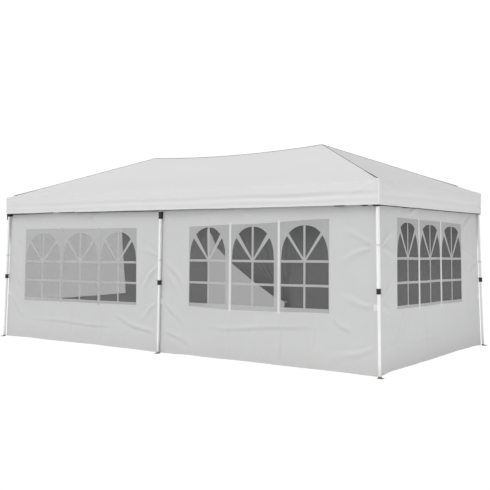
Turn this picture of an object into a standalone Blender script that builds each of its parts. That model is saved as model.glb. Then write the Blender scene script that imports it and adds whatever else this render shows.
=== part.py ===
"""A 3 by 6 metre folding marquee tent, standing with its walls on.

Metres, +Z up. The origin is on the ground under the middle of the tent. +X runs along the
6 m length, and the front long side faces -Y.
"""

import math

import bmesh
import bpy
from mathutils import Vector

# Legs. Each leans outwards from its bracket to its foot.
LEG_TOP_X = 3.0
LEG_TOP_Y = 1.5
LEG_TOP_Z = 2.0
LEG_SPLAY = 0.061
UPPER_TUBE = 0.030
UPPER_WALL = 0.0015
UPPER_BOTTOM_Z = 0.862
LOWER_TUBE = 0.025
LOWER_WALL = 0.0015
LOWER_TOP_Z = 1.080
FOOT_THICK = 0.004
FOOT_REACH = 0.045
FOOT_SIDE = 0.030

# Black plastic pieces on the legs.
COLLAR = 0.040
LOCK_Z = (0.860, 0.918)
LOCK_BUTTON_SIZE = (0.016, 0.022)
LOCK_BUTTON_PROUD = 0.006
LOCK_BUTTON_ROOT = 0.002
MIDDLE_SLIDER_Z = (1.690, 1.780)
CORNER_SLIDER_Z = (1.772, 1.862)
SLIDER_LUG_TRIM = (0.012, 0.006)
BRACKET_BOTTOM_Z = 1.965
BRACKET_LUG_TRIM = (0.015, 0.004)
BRACKET_SOCKET_ROOM = 0.010
LUG_CLEAR_OF_TUBE = 0.001
SOCKET_GAP = 0.0003

# Canopy.
EAVE_X = 3.035
EAVE_Y = 1.535
EAVE_Z = 2.048
VALANCE_BOTTOM_Z = 1.784
PEAK_X = 1.465
PEAK_Z = 2.671
RIDGE_SAG = 0.050
CANOPY_THICK = 0.003

# Scissor trusses.
BAR_THICK = 0.012
BAR_DEPTH = 0.025
BAR_GAP = 0.001
BAR_TOP_Z = 2.012
BAR_OVERSHOOT = 0.014
PIN_RADIUS = 0.007
PIN_SIDES = 8
PIN_OUT = 0.003
HUB_HALF = 0.030
HUB_TALL = 0.050
END_BLOCK_HALF = 0.022
END_BLOCK_TALL = 0.044
END_BLOCK_EXTRA = 0.010

# Peak poles.
POLE_RADIUS = 0.014
POLE_SIDES = 16
CAP_RADIUS = 0.045
CAP_TOP_RADIUS = 0.014
CAP_TALL = 0.016
CAP_EDGE = 0.006

# Walls. They hang just inside the legs and lean with them.
WALL_INSET = 0.022
WALL_THICK = 0.004
WALL_TOP_Z = 1.950
WALL_BOTTOM_Z = 0.008
NOTCH_DROP = 0.001
CORNER_BAND = 0.030
FILM_THICK = 0.0015
FILM_MARGIN = 0.020
WINDOW_Z = (0.630, 1.635)
WINDOW_STRIP = 0.026
FRONT_LEFT_WINDOW = (-2.620, -0.440)
FRONT_RIGHT_WINDOW = (0.460, 2.420)
RIGHT_END_WINDOW = (-1.020, 0.910)
LEFT_END_WINDOW = (-1.250, 0.930)
LEFT_END_WINDOW_Z = (0.500, 1.635)

# The left back wall is a zip door. Its right half is swept aside and tied.
ZIP_X = -1.650
DOOR_HEAD_Z = 1.620
FLAP_EDGE = (
    (-1.570, 1.540),
    (-1.440, 1.300),
    (-1.127, 1.038),
    (-0.761, 0.802),
    (-0.272, 0.520),
    (-0.075, 0.450),
    (-0.085, 0.350),
)

# Solids that touch keep this gap.
GAP = 0.0003

LEG_PLACES = {
    "front_left": (-1, -1),
    "front_middle": (0, -1),
    "front_right": (1, -1),
    "back_left": (-1, 1),
    "back_middle": (0, 1),
    "back_right": (1, 1),
}


def clear_scene():
    for obj in list(bpy.data.objects):
        bpy.data.objects.remove(obj)


def material(name, colour, roughness, metallic=0.0, alpha=1.0):
    made = bpy.data.materials.new(name)
    made.use_nodes = True
    shader = made.node_tree.nodes["Principled BSDF"]
    shader.inputs["Base Color"].default_value = (*colour, 1.0)
    shader.inputs["Roughness"].default_value = roughness
    shader.inputs["Metallic"].default_value = metallic
    shader.inputs["Alpha"].default_value = alpha
    made.diffuse_color = (*colour, alpha)
    return made


def add_object(name, bm, look):
    """A mesh object from a bmesh, with its faces pointing out."""
    bmesh.ops.recalc_face_normals(bm, faces=bm.faces)
    mesh = bpy.data.meshes.new(name)
    bm.to_mesh(mesh)
    bm.free()
    mesh.materials.append(look)
    obj = bpy.data.objects.new(name, mesh)
    bpy.context.scene.collection.objects.link(obj)
    return obj


def fuse(target, others, operation="UNION"):
    """Boolean of the target with helper objects, kept in a hidden collection."""
    for other in others:
        other.hide_render = True
        other.display_type = "WIRE"
        other.hide_set(True)
        change = target.modifiers.new(other.name, "BOOLEAN")
        change.operation = operation
        change.solver = "EXACT"
        change.object = other
    return target


def prism(bm, low_loop, high_loop):
    """A closed solid between two loops with the same number of points."""
    low = [bm.verts.new(point) for point in low_loop]
    high = [bm.verts.new(point) for point in high_loop]
    count = len(low)
    bm.faces.new(list(reversed(low)))
    bm.faces.new(high)
    for i in range(count):
        j = (i + 1) % count
        bm.faces.new((low[i], low[j], high[j], high[i]))


def leg_point(place, z):
    """Where a leg's centre line is at a height. It leans out from its top."""
    out = LEG_SPLAY * (LEG_TOP_Z - z) / LEG_TOP_Z
    side_x, side_y = place
    return Vector((side_x * (LEG_TOP_X + out), side_y * (LEG_TOP_Y + out), z))


def square_loop(centre, half_x, half_y=None):
    half_y = half_x if half_y is None else half_y
    corners = ((-1, -1), (1, -1), (1, 1), (-1, 1))
    return [centre + Vector((sx * half_x, sy * half_y, 0)) for sx, sy in corners]


def leaning_post(place, z_low, z_high, half):
    bm = bmesh.new()
    low = square_loop(leg_point(place, z_low), half)
    high = square_loop(leg_point(place, z_high), half)
    prism(bm, low, high)
    return bm


def leaning_tube(place, z_low, z_high, outer, inner):
    """A square tube along the leg, open at both ends."""
    bm = bmesh.new()
    loops = []
    for z in (z_low, z_high):
        for half in (outer / 2, inner / 2):
            loops.append([bm.verts.new(p) for p in square_loop(leg_point(place, z), half)])
    low_out, low_in, high_out, high_in = loops
    for i in range(4):
        j = (i + 1) % 4
        bm.faces.new((low_out[i], low_out[j], high_out[j], high_out[i]))
        bm.faces.new((low_in[j], low_in[i], high_in[i], high_in[j]))
        bm.faces.new((low_out[j], low_out[i], low_in[i], low_in[j]))
        bm.faces.new((high_out[i], high_out[j], high_in[j], high_in[i]))
    return bm


def box_bmesh(low, high):
    bm = bmesh.new()
    x0, y0, z0 = low
    x1, y1, z1 = high
    base = [Vector(p) for p in ((x0, y0, z0), (x1, y0, z0), (x1, y1, z0), (x0, y1, z0))]
    lid = [p + Vector((0, 0, z1 - z0)) for p in base]
    prism(bm, base, lid)
    return bm


def bar_bmesh(start, end, shift):
    """A flat bar between two points with upright end faces, moved sideways by shift."""
    run = Vector((end.x - start.x, end.y - start.y, 0)).normalized()
    side = Vector((run.y, -run.x, 0))
    bm = bmesh.new()
    loops = []
    for point in (start, end):
        middle = point + side * shift
        loops.append(
            [
                middle + side * (sx * BAR_THICK / 2) + Vector((0, 0, sz * BAR_DEPTH / 2))
                for sx, sz in ((-1, -1), (1, -1), (1, 1), (-1, 1))
            ]
        )
    prism(bm, loops[0], loops[1])
    return bm


def pin_bmesh(centre, side, low, high):
    """A pivot pin along the horizontal direction side, from low to high along it."""
    up = Vector((0, 0, 1))
    across = up.cross(side)
    bm = bmesh.new()
    loops = []
    for reach in (low, high):
        ring = []
        for i in range(PIN_SIDES):
            turn = 2 * math.pi * (i + 0.5) / PIN_SIDES
            ring.append(
                centre
                + side * reach
                + across * (PIN_RADIUS * math.cos(turn))
                + up * (PIN_RADIUS * math.sin(turn))
            )
        loops.append(ring)
    prism(bm, loops[0], loops[1])
    return bm


# Distance from a leg's top centre to the truss: the wall's top edge lies on the truss.
WALL_TOP_OUT = LEG_SPLAY * (LEG_TOP_Z - WALL_TOP_Z) / LEG_TOP_Z
TRUSS_FACE = WALL_INSET + WALL_THICK - WALL_TOP_OUT + GAP
TRUSS_MIDDLE = TRUSS_FACE + BAR_THICK + BAR_GAP / 2
TRUSS_INNER = TRUSS_FACE + 2 * BAR_THICK + BAR_GAP
LAYER = (BAR_THICK + BAR_GAP) / 2
LUG_REACH = TRUSS_INNER + 0.003


def toward(start, end, distance):
    """The horizontal unit step from start to end, times a distance."""
    step = Vector((end[0] - start[0], end[1] - start[1], 0)).normalized()
    return step * distance


def lug_z(slider):
    """The lower and upper edge of the lug on a slider."""
    return slider[0] + SLIDER_LUG_TRIM[0], slider[1] - SLIDER_LUG_TRIM[1]


# Lower bar ends are bolted to the middle of the slider lugs.
BAR_LOW_Z = sum(lug_z(MIDDLE_SLIDER_Z)) / 2
CORNER_BAR_LOW_Z = sum(lug_z(CORNER_SLIDER_Z)) / 2


def scissor(name, look, start, middle, end, outer_side, lows=(BAR_LOW_Z, BAR_LOW_Z)):
    """Two crossed pairs of bars from leg to leg, pinned where they cross and meet.

    The two lows are the heights of the lower bar ends at the first and the last leg.
    """
    run = toward(start, end, 1.0)
    side = Vector((run.y, -run.x, 0))
    facing = 1 if side.dot(Vector(outer_side).to_3d()) > 0 else -1
    up = Vector((0, 0, 1))
    low_node = Vector((*middle, BAR_LOW_Z))
    top_node = Vector((*middle, BAR_TOP_Z))
    shapes = []
    centres = [low_node, top_node]
    for leg, low, layer in ((start, lows[0], 1), (end, lows[1], -1)):
        top_end = Vector((*leg, BAR_TOP_Z))
        low_end = Vector((*leg, low))
        for first, node, side_of in ((top_end, low_node, layer), (low_end, top_node, -layer)):
            past = (node - first) * (BAR_OVERSHOOT / (node - first).xy.length)
            shapes.append(bar_bmesh(first, node + past, side_of * LAYER))
        fall = BAR_TOP_Z - BAR_LOW_Z
        climb = BAR_TOP_Z - low
        centres.append(top_end.lerp(low_node, climb / (fall + climb)))
    inner = LAYER + BAR_THICK / 2 + PIN_OUT
    outer = LAYER + BAR_THICK / 2 - PIN_OUT
    reaches = (-inner, outer) if facing > 0 else (-outer, inner)
    for centre in centres:
        shapes.append(pin_bmesh(centre, side, *reaches))
    first = add_object(name, shapes[0], look)
    rest = [add_object(f"{name}_piece_{i}", s, look) for i, s in enumerate(shapes[1:], 1)]
    return fuse(first, rest)


def peak_truss(name, look, hub_x, arm_ends):
    """The arms that carry a peak pole: a crossed pair of bars along each of four arms."""
    up = Vector((0, 0, 1))
    hub = Vector((hub_x, 0, 0))
    post_low = BAR_LOW_Z - HUB_TALL / 2
    post_high = BAR_TOP_Z + HUB_TALL / 2
    shapes = []
    for z in (BAR_LOW_Z, BAR_TOP_Z):
        low = (hub_x - HUB_HALF, -HUB_HALF, z - HUB_TALL / 2)
        high = (hub_x + HUB_HALF, HUB_HALF, z + HUB_TALL / 2)
        shapes.append(box_bmesh(low, high))
    post = POLE_RADIUS
    shapes.append(
        box_bmesh(
            (hub_x - post, -post, post_low + HUB_TALL / 2),
            (hub_x + post, post, post_high - HUB_TALL / 2),
        )
    )
    for arm_end in arm_ends:
        far = Vector((*arm_end, 0))
        run = toward(hub, far, 1.0)
        near = hub + run * (HUB_HALF / 2)
        tip = far - run * END_BLOCK_HALF
        shapes.append(bar_bmesh(near + up * BAR_LOW_Z, tip + up * BAR_TOP_Z, LAYER))
        shapes.append(bar_bmesh(near + up * BAR_TOP_Z, tip + up * BAR_LOW_Z, -LAYER))
        side = Vector((run.y, -run.x, 0))
        cross = (near + tip) / 2 + up * ((BAR_TOP_Z + BAR_LOW_Z) / 2)
        reach = LAYER + BAR_THICK / 2 + PIN_OUT
        shapes.append(pin_bmesh(cross, side, -reach, reach))
        for z in (BAR_LOW_Z, BAR_TOP_Z):
            centre = far - run * END_BLOCK_HALF + up * z
            across = END_BLOCK_HALF + abs(run.y) * END_BLOCK_EXTRA
            bm = bmesh.new()
            loops = []
            for reach_run in (-END_BLOCK_HALF, END_BLOCK_HALF):
                loops.append(
                    [
                        centre
                        + run * reach_run
                        + side * (sx * across)
                        + up * (sz * END_BLOCK_TALL / 2)
                        for sx, sz in ((-1, -1), (1, -1), (1, 1), (-1, 1))
                    ]
                )
            prism(bm, loops[0], loops[1])
            shapes.append(bm)
    first = add_object(name, shapes[0], look)
    rest = [add_object(f"{name}_piece_{i}", s, look) for i, s in enumerate(shapes[1:], 1)]
    return fuse(first, rest)


def add_trusses(look):
    side_y = LEG_TOP_Y - TRUSS_MIDDLE
    end_x = LEG_TOP_X - TRUSS_MIDDLE
    bay_start = COLLAR / 2 + GAP
    corner_start = LUG_REACH + GAP
    for side, sign in (("front", -1), ("back", 1)):
        y = sign * side_y
        middle = LEG_TOP_X / 2
        far = LEG_TOP_X - corner_start
        for hand, turn in (("right", 1), ("left", -1)):
            at_leg = (turn * bay_start, y)
            at_corner = (turn * far, y)
            name = f"{side}_{hand}_truss"
            lows = (BAR_LOW_Z, CORNER_BAR_LOW_Z)
            scissor(name, look, at_leg, (turn * middle, y), at_corner, (0, sign), lows)
    for end, sign in (("right", 1), ("left", -1)):
        x = sign * end_x
        far = LEG_TOP_Y - corner_start
        lows = (CORNER_BAR_LOW_Z, CORNER_BAR_LOW_Z)
        scissor(f"{end}_end_truss", look, (x, -far), (x, 0), (x, far), (sign, 0), lows)
    far = LEG_TOP_Y - corner_start
    scissor("middle_truss", look, (0, -far), (0, 0), (0, far), (1, 0))
    inner_y = LEG_TOP_Y - TRUSS_INNER - PIN_OUT - GAP
    inner_x = LEG_TOP_X - TRUSS_INNER - PIN_OUT - GAP
    centre_x = LAYER + BAR_THICK / 2 + PIN_OUT + GAP
    for end, sign in (("right", 1), ("left", -1)):
        arms = (
            (sign * inner_x, 0),
            (sign * centre_x, 0),
            (sign * LEG_TOP_X / 2, -inner_y),
            (sign * LEG_TOP_X / 2, inner_y),
        )
        peak_truss(f"{end}_peak_truss", look, sign * PEAK_X, arms)


def add_legs(steel, plastic):
    for where, place in LEG_PLACES.items():
        upper_inner = UPPER_TUBE - 2 * UPPER_WALL
        lower_inner = LOWER_TUBE - 2 * LOWER_WALL
        tube = leaning_tube(place, UPPER_BOTTOM_Z, LEG_TOP_Z, UPPER_TUBE, upper_inner)
        add_object(f"{where}_upper_leg", tube, steel)
        lower = leaning_tube(place, FOOT_THICK / 2, LOWER_TOP_Z, LOWER_TUBE, lower_inner)
        lower_leg = add_object(f"{where}_lower_leg", lower, steel)
        foot = add_object(f"{where}_foot", foot_bmesh(place), steel)
        fuse(lower_leg, [foot])
        ring = leaning_tube(place, *LOCK_Z, COLLAR, UPPER_TUBE + 2 * SOCKET_GAP)
        lock = add_object(f"{where}_leg_lock", ring, plastic)
        fuse(lock, [add_object(f"{where}_lock_button", lock_button_bmesh(place), plastic)])
        add_slider(where, place, plastic)
        add_bracket(where, place, plastic)


def foot_bmesh(place):
    """A flat foot plate, flush with the leg on its inner side and reaching outwards."""
    centre = leg_point(place, 0)
    side_x, side_y = place
    inner = UPPER_TUBE / 2
    if side_x == 0:
        x_range = (centre.x - FOOT_SIDE, centre.x + FOOT_SIDE)
    else:
        x_range = sorted((centre.x - side_x * inner, centre.x + side_x * FOOT_REACH))
    y_range = sorted((centre.y - side_y * inner, centre.y + side_y * FOOT_REACH))
    return box_bmesh((x_range[0], y_range[0], 0), (x_range[1], y_range[1], FOOT_THICK))


def lock_button_bmesh(place):
    """The push button on the outer face of the lock."""
    centre = leg_point(place, sum(LOCK_Z) / 2)
    width, tall = LOCK_BUTTON_SIZE
    root = centre.y + place[1] * (COLLAR / 2 - LOCK_BUTTON_ROOT)
    tip = centre.y + place[1] * (COLLAR / 2 + LOCK_BUTTON_PROUD)
    low = (centre.x - width / 2, min(root, tip), centre.z - tall / 2)
    high = (centre.x + width / 2, max(root, tip), centre.z + tall / 2)
    return box_bmesh(low, high)


def lug_bmesh(place, z_low, z_high):
    """The block on the inner side of a collar that the truss bars are bolted to."""
    top = leg_point(place, LEG_TOP_Z)
    beside = leg_point(place, z_high)
    inside = UPPER_TUBE / 2 + LUG_CLEAR_OF_TUBE
    side_x, side_y = place
    if side_x == 0:
        x_range = (-COLLAR / 2, COLLAR / 2)
    else:
        x_range = sorted((top.x - side_x * LUG_REACH, beside.x - side_x * inside))
    y_range = sorted((top.y - side_y * LUG_REACH, beside.y - side_y * inside))
    return box_bmesh((x_range[0], y_range[0], z_low), (x_range[1], y_range[1], z_high))


def add_slider(where, place, plastic):
    heights = MIDDLE_SLIDER_Z if place[0] == 0 else CORNER_SLIDER_Z
    ring = leaning_tube(place, *heights, COLLAR, UPPER_TUBE + 2 * SOCKET_GAP)
    slider = add_object(f"{where}_slider", ring, plastic)
    lug = lug_bmesh(place, *lug_z(heights))
    fuse(slider, [add_object(f"{where}_slider_lug", lug, plastic)])


def bracket_top_z(place):
    """The bracket's flat top, just under the canopy above its outermost corner."""
    slope = (PEAK_Z - EAVE_Z) / EAVE_Y
    from_eave = EAVE_Y - LEG_TOP_Y - COLLAR / 2
    return EAVE_Z + slope * from_eave - CANOPY_THICK * math.sqrt(1 + slope**2) - 2 * GAP


def add_bracket(where, place, plastic):
    top_z = bracket_top_z(place)
    body = leaning_post(place, BRACKET_BOTTOM_Z, top_z, COLLAR / 2)
    bracket = add_object(f"{where}_bracket", body, plastic)
    lug = lug_bmesh(place, BRACKET_BOTTOM_Z + BRACKET_LUG_TRIM[0], top_z - BRACKET_LUG_TRIM[1])
    fuse(bracket, [add_object(f"{where}_bracket_lug", lug, plastic)])
    socket_low = BRACKET_BOTTOM_Z - BRACKET_SOCKET_ROOM
    socket_high = LEG_TOP_Z + SOCKET_GAP
    socket = leaning_post(place, socket_low, socket_high, UPPER_TUBE / 2 + SOCKET_GAP)
    fuse(bracket, [add_object(f"{where}_bracket_socket", socket, plastic)], "DIFFERENCE")


def add_peak_pole(name, look, sign):
    bottom = BAR_TOP_Z + HUB_TALL / 2 + GAP
    slope = (PEAK_Z - EAVE_Z) / EAVE_Y
    under = CANOPY_THICK * math.sqrt(1 + slope**2) + 2 * GAP
    cap_top = PEAK_Z - slope * CAP_TOP_RADIUS - under
    cap_edge = min(PEAK_Z - slope * CAP_RADIUS - under, cap_top - CAP_EDGE)
    profile = (
        (POLE_RADIUS, bottom),
        (POLE_RADIUS, cap_edge - CAP_TALL),
        (CAP_RADIUS, cap_edge - CAP_EDGE),
        (CAP_RADIUS, cap_edge),
        (CAP_TOP_RADIUS, cap_top),
    )
    bm = bmesh.new()
    rings = []
    for radius, z in profile:
        ring = []
        for i in range(POLE_SIDES):
            turn = 2 * math.pi * i / POLE_SIDES
            x = sign * PEAK_X + radius * math.cos(turn)
            ring.append(bm.verts.new((x, radius * math.sin(turn), z)))
        rings.append(ring)
    bm.faces.new(list(reversed(rings[0])))
    bm.faces.new(rings[-1])
    for low, high in zip(rings, rings[1:]):
        for i in range(POLE_SIDES):
            j = (i + 1) % POLE_SIDES
            bm.faces.new((low[i], low[j], high[j], high[i]))
    add_object(name, bm, look)


def ridge_height(x):
    """The ridge hangs a little between the two peaks."""
    across = min(abs(x) / PEAK_X, 1.0)
    return PEAK_Z - RIDGE_SAG * (1 - across**2)


def canopy_side(name, look, sign):
    """The long slope and its valance as one thin solid."""
    inner_drop = CANOPY_THICK * math.sqrt(1 + ((PEAK_Z - EAVE_Z) / EAVE_Y) ** 2)
    stations = [-EAVE_X, -PEAK_X, -PEAK_X / 2, 0.0, PEAK_X / 2, PEAK_X, EAVE_X]
    bm = bmesh.new()
    outer = {}
    inner = {}
    for i, x in enumerate(stations):
        at_end = i in (0, len(stations) - 1)
        trim = math.copysign(GAP, x) if at_end else 0.0
        inner_x = math.copysign(EAVE_X - CANOPY_THICK, x) if at_end else x
        eave_y = sign * EAVE_Y
        inner_y = sign * (EAVE_Y - CANOPY_THICK)
        outer["low", i] = bm.verts.new((x - trim, eave_y, VALANCE_BOTTOM_Z))
        outer["eave", i] = bm.verts.new((x - trim, eave_y, EAVE_Z))
        inner["low", i] = bm.verts.new((inner_x - trim, inner_y, VALANCE_BOTTOM_Z))
        inner["eave", i] = bm.verts.new((inner_x - trim, inner_y, EAVE_Z - CANOPY_THICK / 2))
        if not at_end:
            ridge_trim = math.copysign(GAP, x) if abs(x) == PEAK_X else 0.0
            z = ridge_height(x)
            outer["ridge", i] = bm.verts.new((x - ridge_trim, sign * GAP, z))
            inner["ridge", i] = bm.verts.new((x - ridge_trim, sign * GAP, z - inner_drop))
    last = len(stations) - 1
    for skin in (outer, inner):
        for i in range(last):
            bm.faces.new((skin["low", i], skin["low", i + 1], skin["eave", i + 1], skin["eave", i]))
            if i == 0:
                bm.faces.new((skin["eave", 0], skin["eave", 1], skin["ridge", 1]))
            elif i == last - 1:
                bm.faces.new((skin["eave", i], skin["eave", last], skin["ridge", i]))
            else:
                corners = ("eave", i), ("eave", i + 1), ("ridge", i + 1), ("ridge", i)
                bm.faces.new([skin[c] for c in corners])
    border = [("low", i) for i in range(last + 1)] + [("eave", last)]
    border += [("ridge", i) for i in range(last - 1, 0, -1)] + [("eave", 0)]
    for a, b in zip(border, border[1:] + border[:1]):
        bm.faces.new((outer[a], outer[b], inner[b], inner[a]))
    return add_object(name, bm, look)


def canopy_end(name, look, sign):
    """The triangular slope and its valance as one thin solid."""
    inner_drop = CANOPY_THICK * math.sqrt(1 + ((PEAK_Z - EAVE_Z) / EAVE_Y) ** 2)
    bm = bmesh.new()
    outer = {}
    inner = {}
    for side in (-1, 1):
        outer_y = side * (EAVE_Y - GAP)
        inner_y = side * (EAVE_Y - CANOPY_THICK - GAP)
        x = sign * EAVE_X
        inner_x = sign * (EAVE_X - CANOPY_THICK)
        outer["low", side] = bm.verts.new((x, outer_y, VALANCE_BOTTOM_Z))
        outer["eave", side] = bm.verts.new((x, outer_y, EAVE_Z))
        inner["low", side] = bm.verts.new((inner_x, inner_y, VALANCE_BOTTOM_Z))
        inner["eave", side] = bm.verts.new((inner_x, inner_y, EAVE_Z - CANOPY_THICK / 2))
    tip_x = sign * (PEAK_X + GAP)
    outer["peak", 0] = bm.verts.new((tip_x, 0, PEAK_Z))
    inner["peak", 0] = bm.verts.new((tip_x, 0, PEAK_Z - inner_drop))
    border = [("low", -1), ("low", 1), ("eave", 1), ("peak", 0), ("eave", -1)]
    for skin in (outer, inner):
        bm.faces.new([skin[c] for c in (("low", -1), ("low", 1), ("eave", 1), ("eave", -1))])
        bm.faces.new([skin[c] for c in (("eave", -1), ("eave", 1), ("peak", 0))])
    for a, b in zip(border, border[1:] + border[:1]):
        bm.faces.new((outer[a], outer[b], inner[b], inner[a]))
    return add_object(name, bm, look)


def wall_out(z):
    """How far a wall's outer face stands out from the legs' top centres at a height."""
    return LEG_SPLAY * (LEG_TOP_Z - z) / LEG_TOP_Z - WALL_INSET


class SideFace:
    """Maps a place along a long wall, a height and a depth to a point."""

    def __init__(self, sign):
        self.sign = sign

    def point(self, along, z, depth):
        if abs(along) > LEG_TOP_X - CORNER_BAND:
            along = math.copysign(abs(along) + wall_out(z), along)
        return Vector((along, self.sign * (LEG_TOP_Y + wall_out(z) - depth), z))


class EndFace:
    """Maps a place along an end wall, a height and a depth to a point."""

    def __init__(self, sign):
        self.sign = sign

    def point(self, along, z, depth):
        if abs(along) > LEG_TOP_Y - CORNER_BAND:
            along = math.copysign(abs(along) + wall_out(z), along)
        return Vector((self.sign * (LEG_TOP_X + wall_out(z) - depth), along, z))


def sheet_solid(name, look, face, columns, rows, missing, depth, thick):
    """A thin wall from a grid of cells, without the cells listed as missing."""
    bm = bmesh.new()
    verts = {}

    def vert(i, j, back):
        key = (i, j, back)
        if key not in verts:
            reach = depth + thick if back else depth
            verts[key] = bm.verts.new(face.point(columns[i], rows[j], reach))
        return verts[key]

    cells = [
        (i, j)
        for i in range(len(columns) - 1)
        for j in range(len(rows) - 1)
        if (i, j) not in missing
    ]
    edges = {}
    for i, j in cells:
        loop = ((i, j), (i + 1, j), (i + 1, j + 1), (i, j + 1))
        bm.faces.new([vert(a, b, False) for a, b in loop])
        bm.faces.new([vert(a, b, True) for a, b in reversed(loop)])
        for a, b in zip(loop, loop[1:] + loop[:1]):
            key = frozenset((a, b))
            edges[key] = edges.get(key, []) + [(a, b)]
    for uses in edges.values():
        if len(uses) == 1:
            a, b = uses[0]
            corners = (vert(*a, False), vert(*b, False), vert(*b, True), vert(*a, True))
            bm.faces.new(corners)
    return add_object(name, bm, look)


def window_columns(window, panes):
    """The edges of panes of equal width between strips."""
    low, high = window
    pane = (high - low - (panes - 1) * WINDOW_STRIP) / panes
    edges = [low]
    for _ in range(panes - 1):
        edges.append(edges[-1] + pane)
        edges.append(edges[-1] + WINDOW_STRIP)
    return edges + [high]


def notch_z(slider):
    return slider[0] - NOTCH_DROP


def wall_rows(window_heights=()):
    notches = (notch_z(MIDDLE_SLIDER_Z), notch_z(CORNER_SLIDER_Z))
    return [WALL_BOTTOM_Z, *window_heights, *notches, WALL_TOP_Z]


def notch_cells(columns, rows, ends=(0, -1)):
    """The cells left out around the sliders, at the first (0) or last (-1) column."""
    cells = set()
    for end in ends:
        slider = MIDDLE_SLIDER_Z if abs(columns[end]) < COLLAR else CORNER_SLIDER_Z
        column = 0 if end == 0 else len(columns) - 2
        cells |= {(column, j) for j, z in enumerate(rows[:-1]) if z >= notch_z(slider)}
    return cells


def window_wall(name, fabric, film, face, outer_columns, window, heights=WINDOW_Z, panes=3):
    """A wall with its panes cut out, and the clear sheet behind them."""
    left, left_notch, right_notch, right = outer_columns
    columns = [left, left_notch] + window_columns(window, panes) + [right_notch, right]
    rows = wall_rows(heights)
    missing = {(2 + 2 * i, 1) for i in range(panes)} | notch_cells(columns, rows)
    sheet_solid(f"{name}_wall", fabric, face, columns, rows, missing, 0, WALL_THICK)
    film_columns = [window[0] - FILM_MARGIN, window[1] + FILM_MARGIN]
    film_rows = [heights[0] - FILM_MARGIN, heights[1] + FILM_MARGIN]
    film_depth = WALL_THICK + GAP
    film_name = f"{name}_window_film"
    sheet_solid(film_name, film, face, film_columns, film_rows, set(), film_depth, FILM_THICK)


def add_walls(fabric, film):
    mid = GAP / 2
    mid_notch = COLLAR / 2 + NOTCH_DROP
    edge = LEG_TOP_X
    edge_notch = LEG_TOP_X - LUG_REACH - NOTCH_DROP
    front = SideFace(-1)
    back = SideFace(1)
    left_half = (-edge, -edge_notch, -mid_notch, -mid)
    right_half = (mid, mid_notch, edge_notch, edge)
    window_wall("front_left", fabric, film, front, left_half, FRONT_LEFT_WINDOW)
    window_wall("front_right", fabric, film, front, right_half, FRONT_RIGHT_WINDOW)
    end_edge = LEG_TOP_Y - WALL_THICK - GAP
    end_notch = LEG_TOP_Y - LUG_REACH - NOTCH_DROP
    across = (-end_edge, -end_notch, end_notch, end_edge)
    window_wall("right_end", fabric, film, EndFace(1), across, RIGHT_END_WINDOW)
    left_end = EndFace(-1)
    window_wall(
        "left_end", fabric, film, left_end, across, LEFT_END_WINDOW, LEFT_END_WINDOW_Z, panes=1
    )
    rows = wall_rows()
    columns = list(right_half)
    notches = notch_cells(columns, rows)
    sheet_solid("back_right_wall", fabric, back, columns, rows, notches, 0, WALL_THICK)
    columns = [-edge, -edge_notch, ZIP_X - GAP / 2]
    name = "back_left_wall_fixed_half"
    notches = notch_cells(columns, rows, ends=(0,))
    sheet_solid(name, fabric, back, columns, rows, notches, 0, WALL_THICK)
    columns = [ZIP_X + GAP / 2, -mid_notch, -mid]
    rows[0] = DOOR_HEAD_Z
    name = "back_left_wall_head"
    notches = notch_cells(columns, rows, ends=(-1,))
    sheet_solid(name, fabric, back, columns, rows, notches, 0, WALL_THICK)
    add_flap(fabric, back, mid)


def add_flap(fabric, face, mid):
    """The door half that is swept aside to the middle leg, as a flat sheet."""
    head = DOOR_HEAD_Z - GAP
    outline = [(ZIP_X + GAP / 2, head)]
    outline += list(FLAP_EDGE)
    outline += [(FLAP_EDGE[-1][0], WALL_BOTTOM_Z), (-mid, WALL_BOTTOM_Z), (-mid, head)]
    bm = bmesh.new()
    front_loop = [face.point(x, z, 0) for x, z in outline]
    back_loop = [face.point(x, z, WALL_THICK) for x, z in outline]
    prism(bm, front_loop, back_loop)
    add_object("back_left_wall_swept_half", bm, fabric)


def main():
    clear_scene()
    steel = material("white_powder_coat", (0.86, 0.86, 0.86), 0.35)
    plastic = material("black_nylon", (0.015, 0.015, 0.016), 0.5)
    roof = material("roof_cloth", (0.72, 0.72, 0.72), 0.8)
    fabric = material("wall_cloth", (0.6, 0.6, 0.6), 0.85)
    film = material("clear_film", (0.75, 0.78, 0.8), 0.1, alpha=0.3)
    add_legs(steel, plastic)
    add_trusses(steel)
    add_peak_pole("right_peak_pole", steel, 1)
    add_peak_pole("left_peak_pole", steel, -1)
    canopy_side("canopy_front", roof, -1)
    canopy_side("canopy_back", roof, 1)
    canopy_end("canopy_right_end", roof, 1)
    canopy_end("canopy_left_end", roof, -1)
    add_walls(fabric, film)


main()
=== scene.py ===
"""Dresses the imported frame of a 3 by 6 metre folding marquee tent.

Metres, +Z up, in the frame's own axes: +X runs along the 6 m length and the front faces -Y.
The canopy, the walls, the window film and its print, the tapes, zips, ties and leg fittings
are made here. The trusses and the peak poles keep their own meshes and get their finish here.
"""

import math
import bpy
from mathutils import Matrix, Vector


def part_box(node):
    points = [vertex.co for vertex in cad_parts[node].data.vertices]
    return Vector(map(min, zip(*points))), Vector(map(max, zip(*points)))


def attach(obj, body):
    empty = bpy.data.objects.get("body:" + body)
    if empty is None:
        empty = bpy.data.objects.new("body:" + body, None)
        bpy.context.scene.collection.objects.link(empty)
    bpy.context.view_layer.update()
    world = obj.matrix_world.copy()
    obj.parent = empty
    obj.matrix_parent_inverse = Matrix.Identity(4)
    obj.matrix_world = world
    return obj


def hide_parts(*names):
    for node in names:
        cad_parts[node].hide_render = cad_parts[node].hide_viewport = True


bl_info = {
    "name": "Folding marquee tent",
    "version": (1, 0, 0),
    "blender": (4, 5, 0),
    "location": "3D View > Sidebar > Marquee",
    "description": "Canopy, walls, windows and fittings for a folding marquee frame",
    "category": "Object",
}

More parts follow.
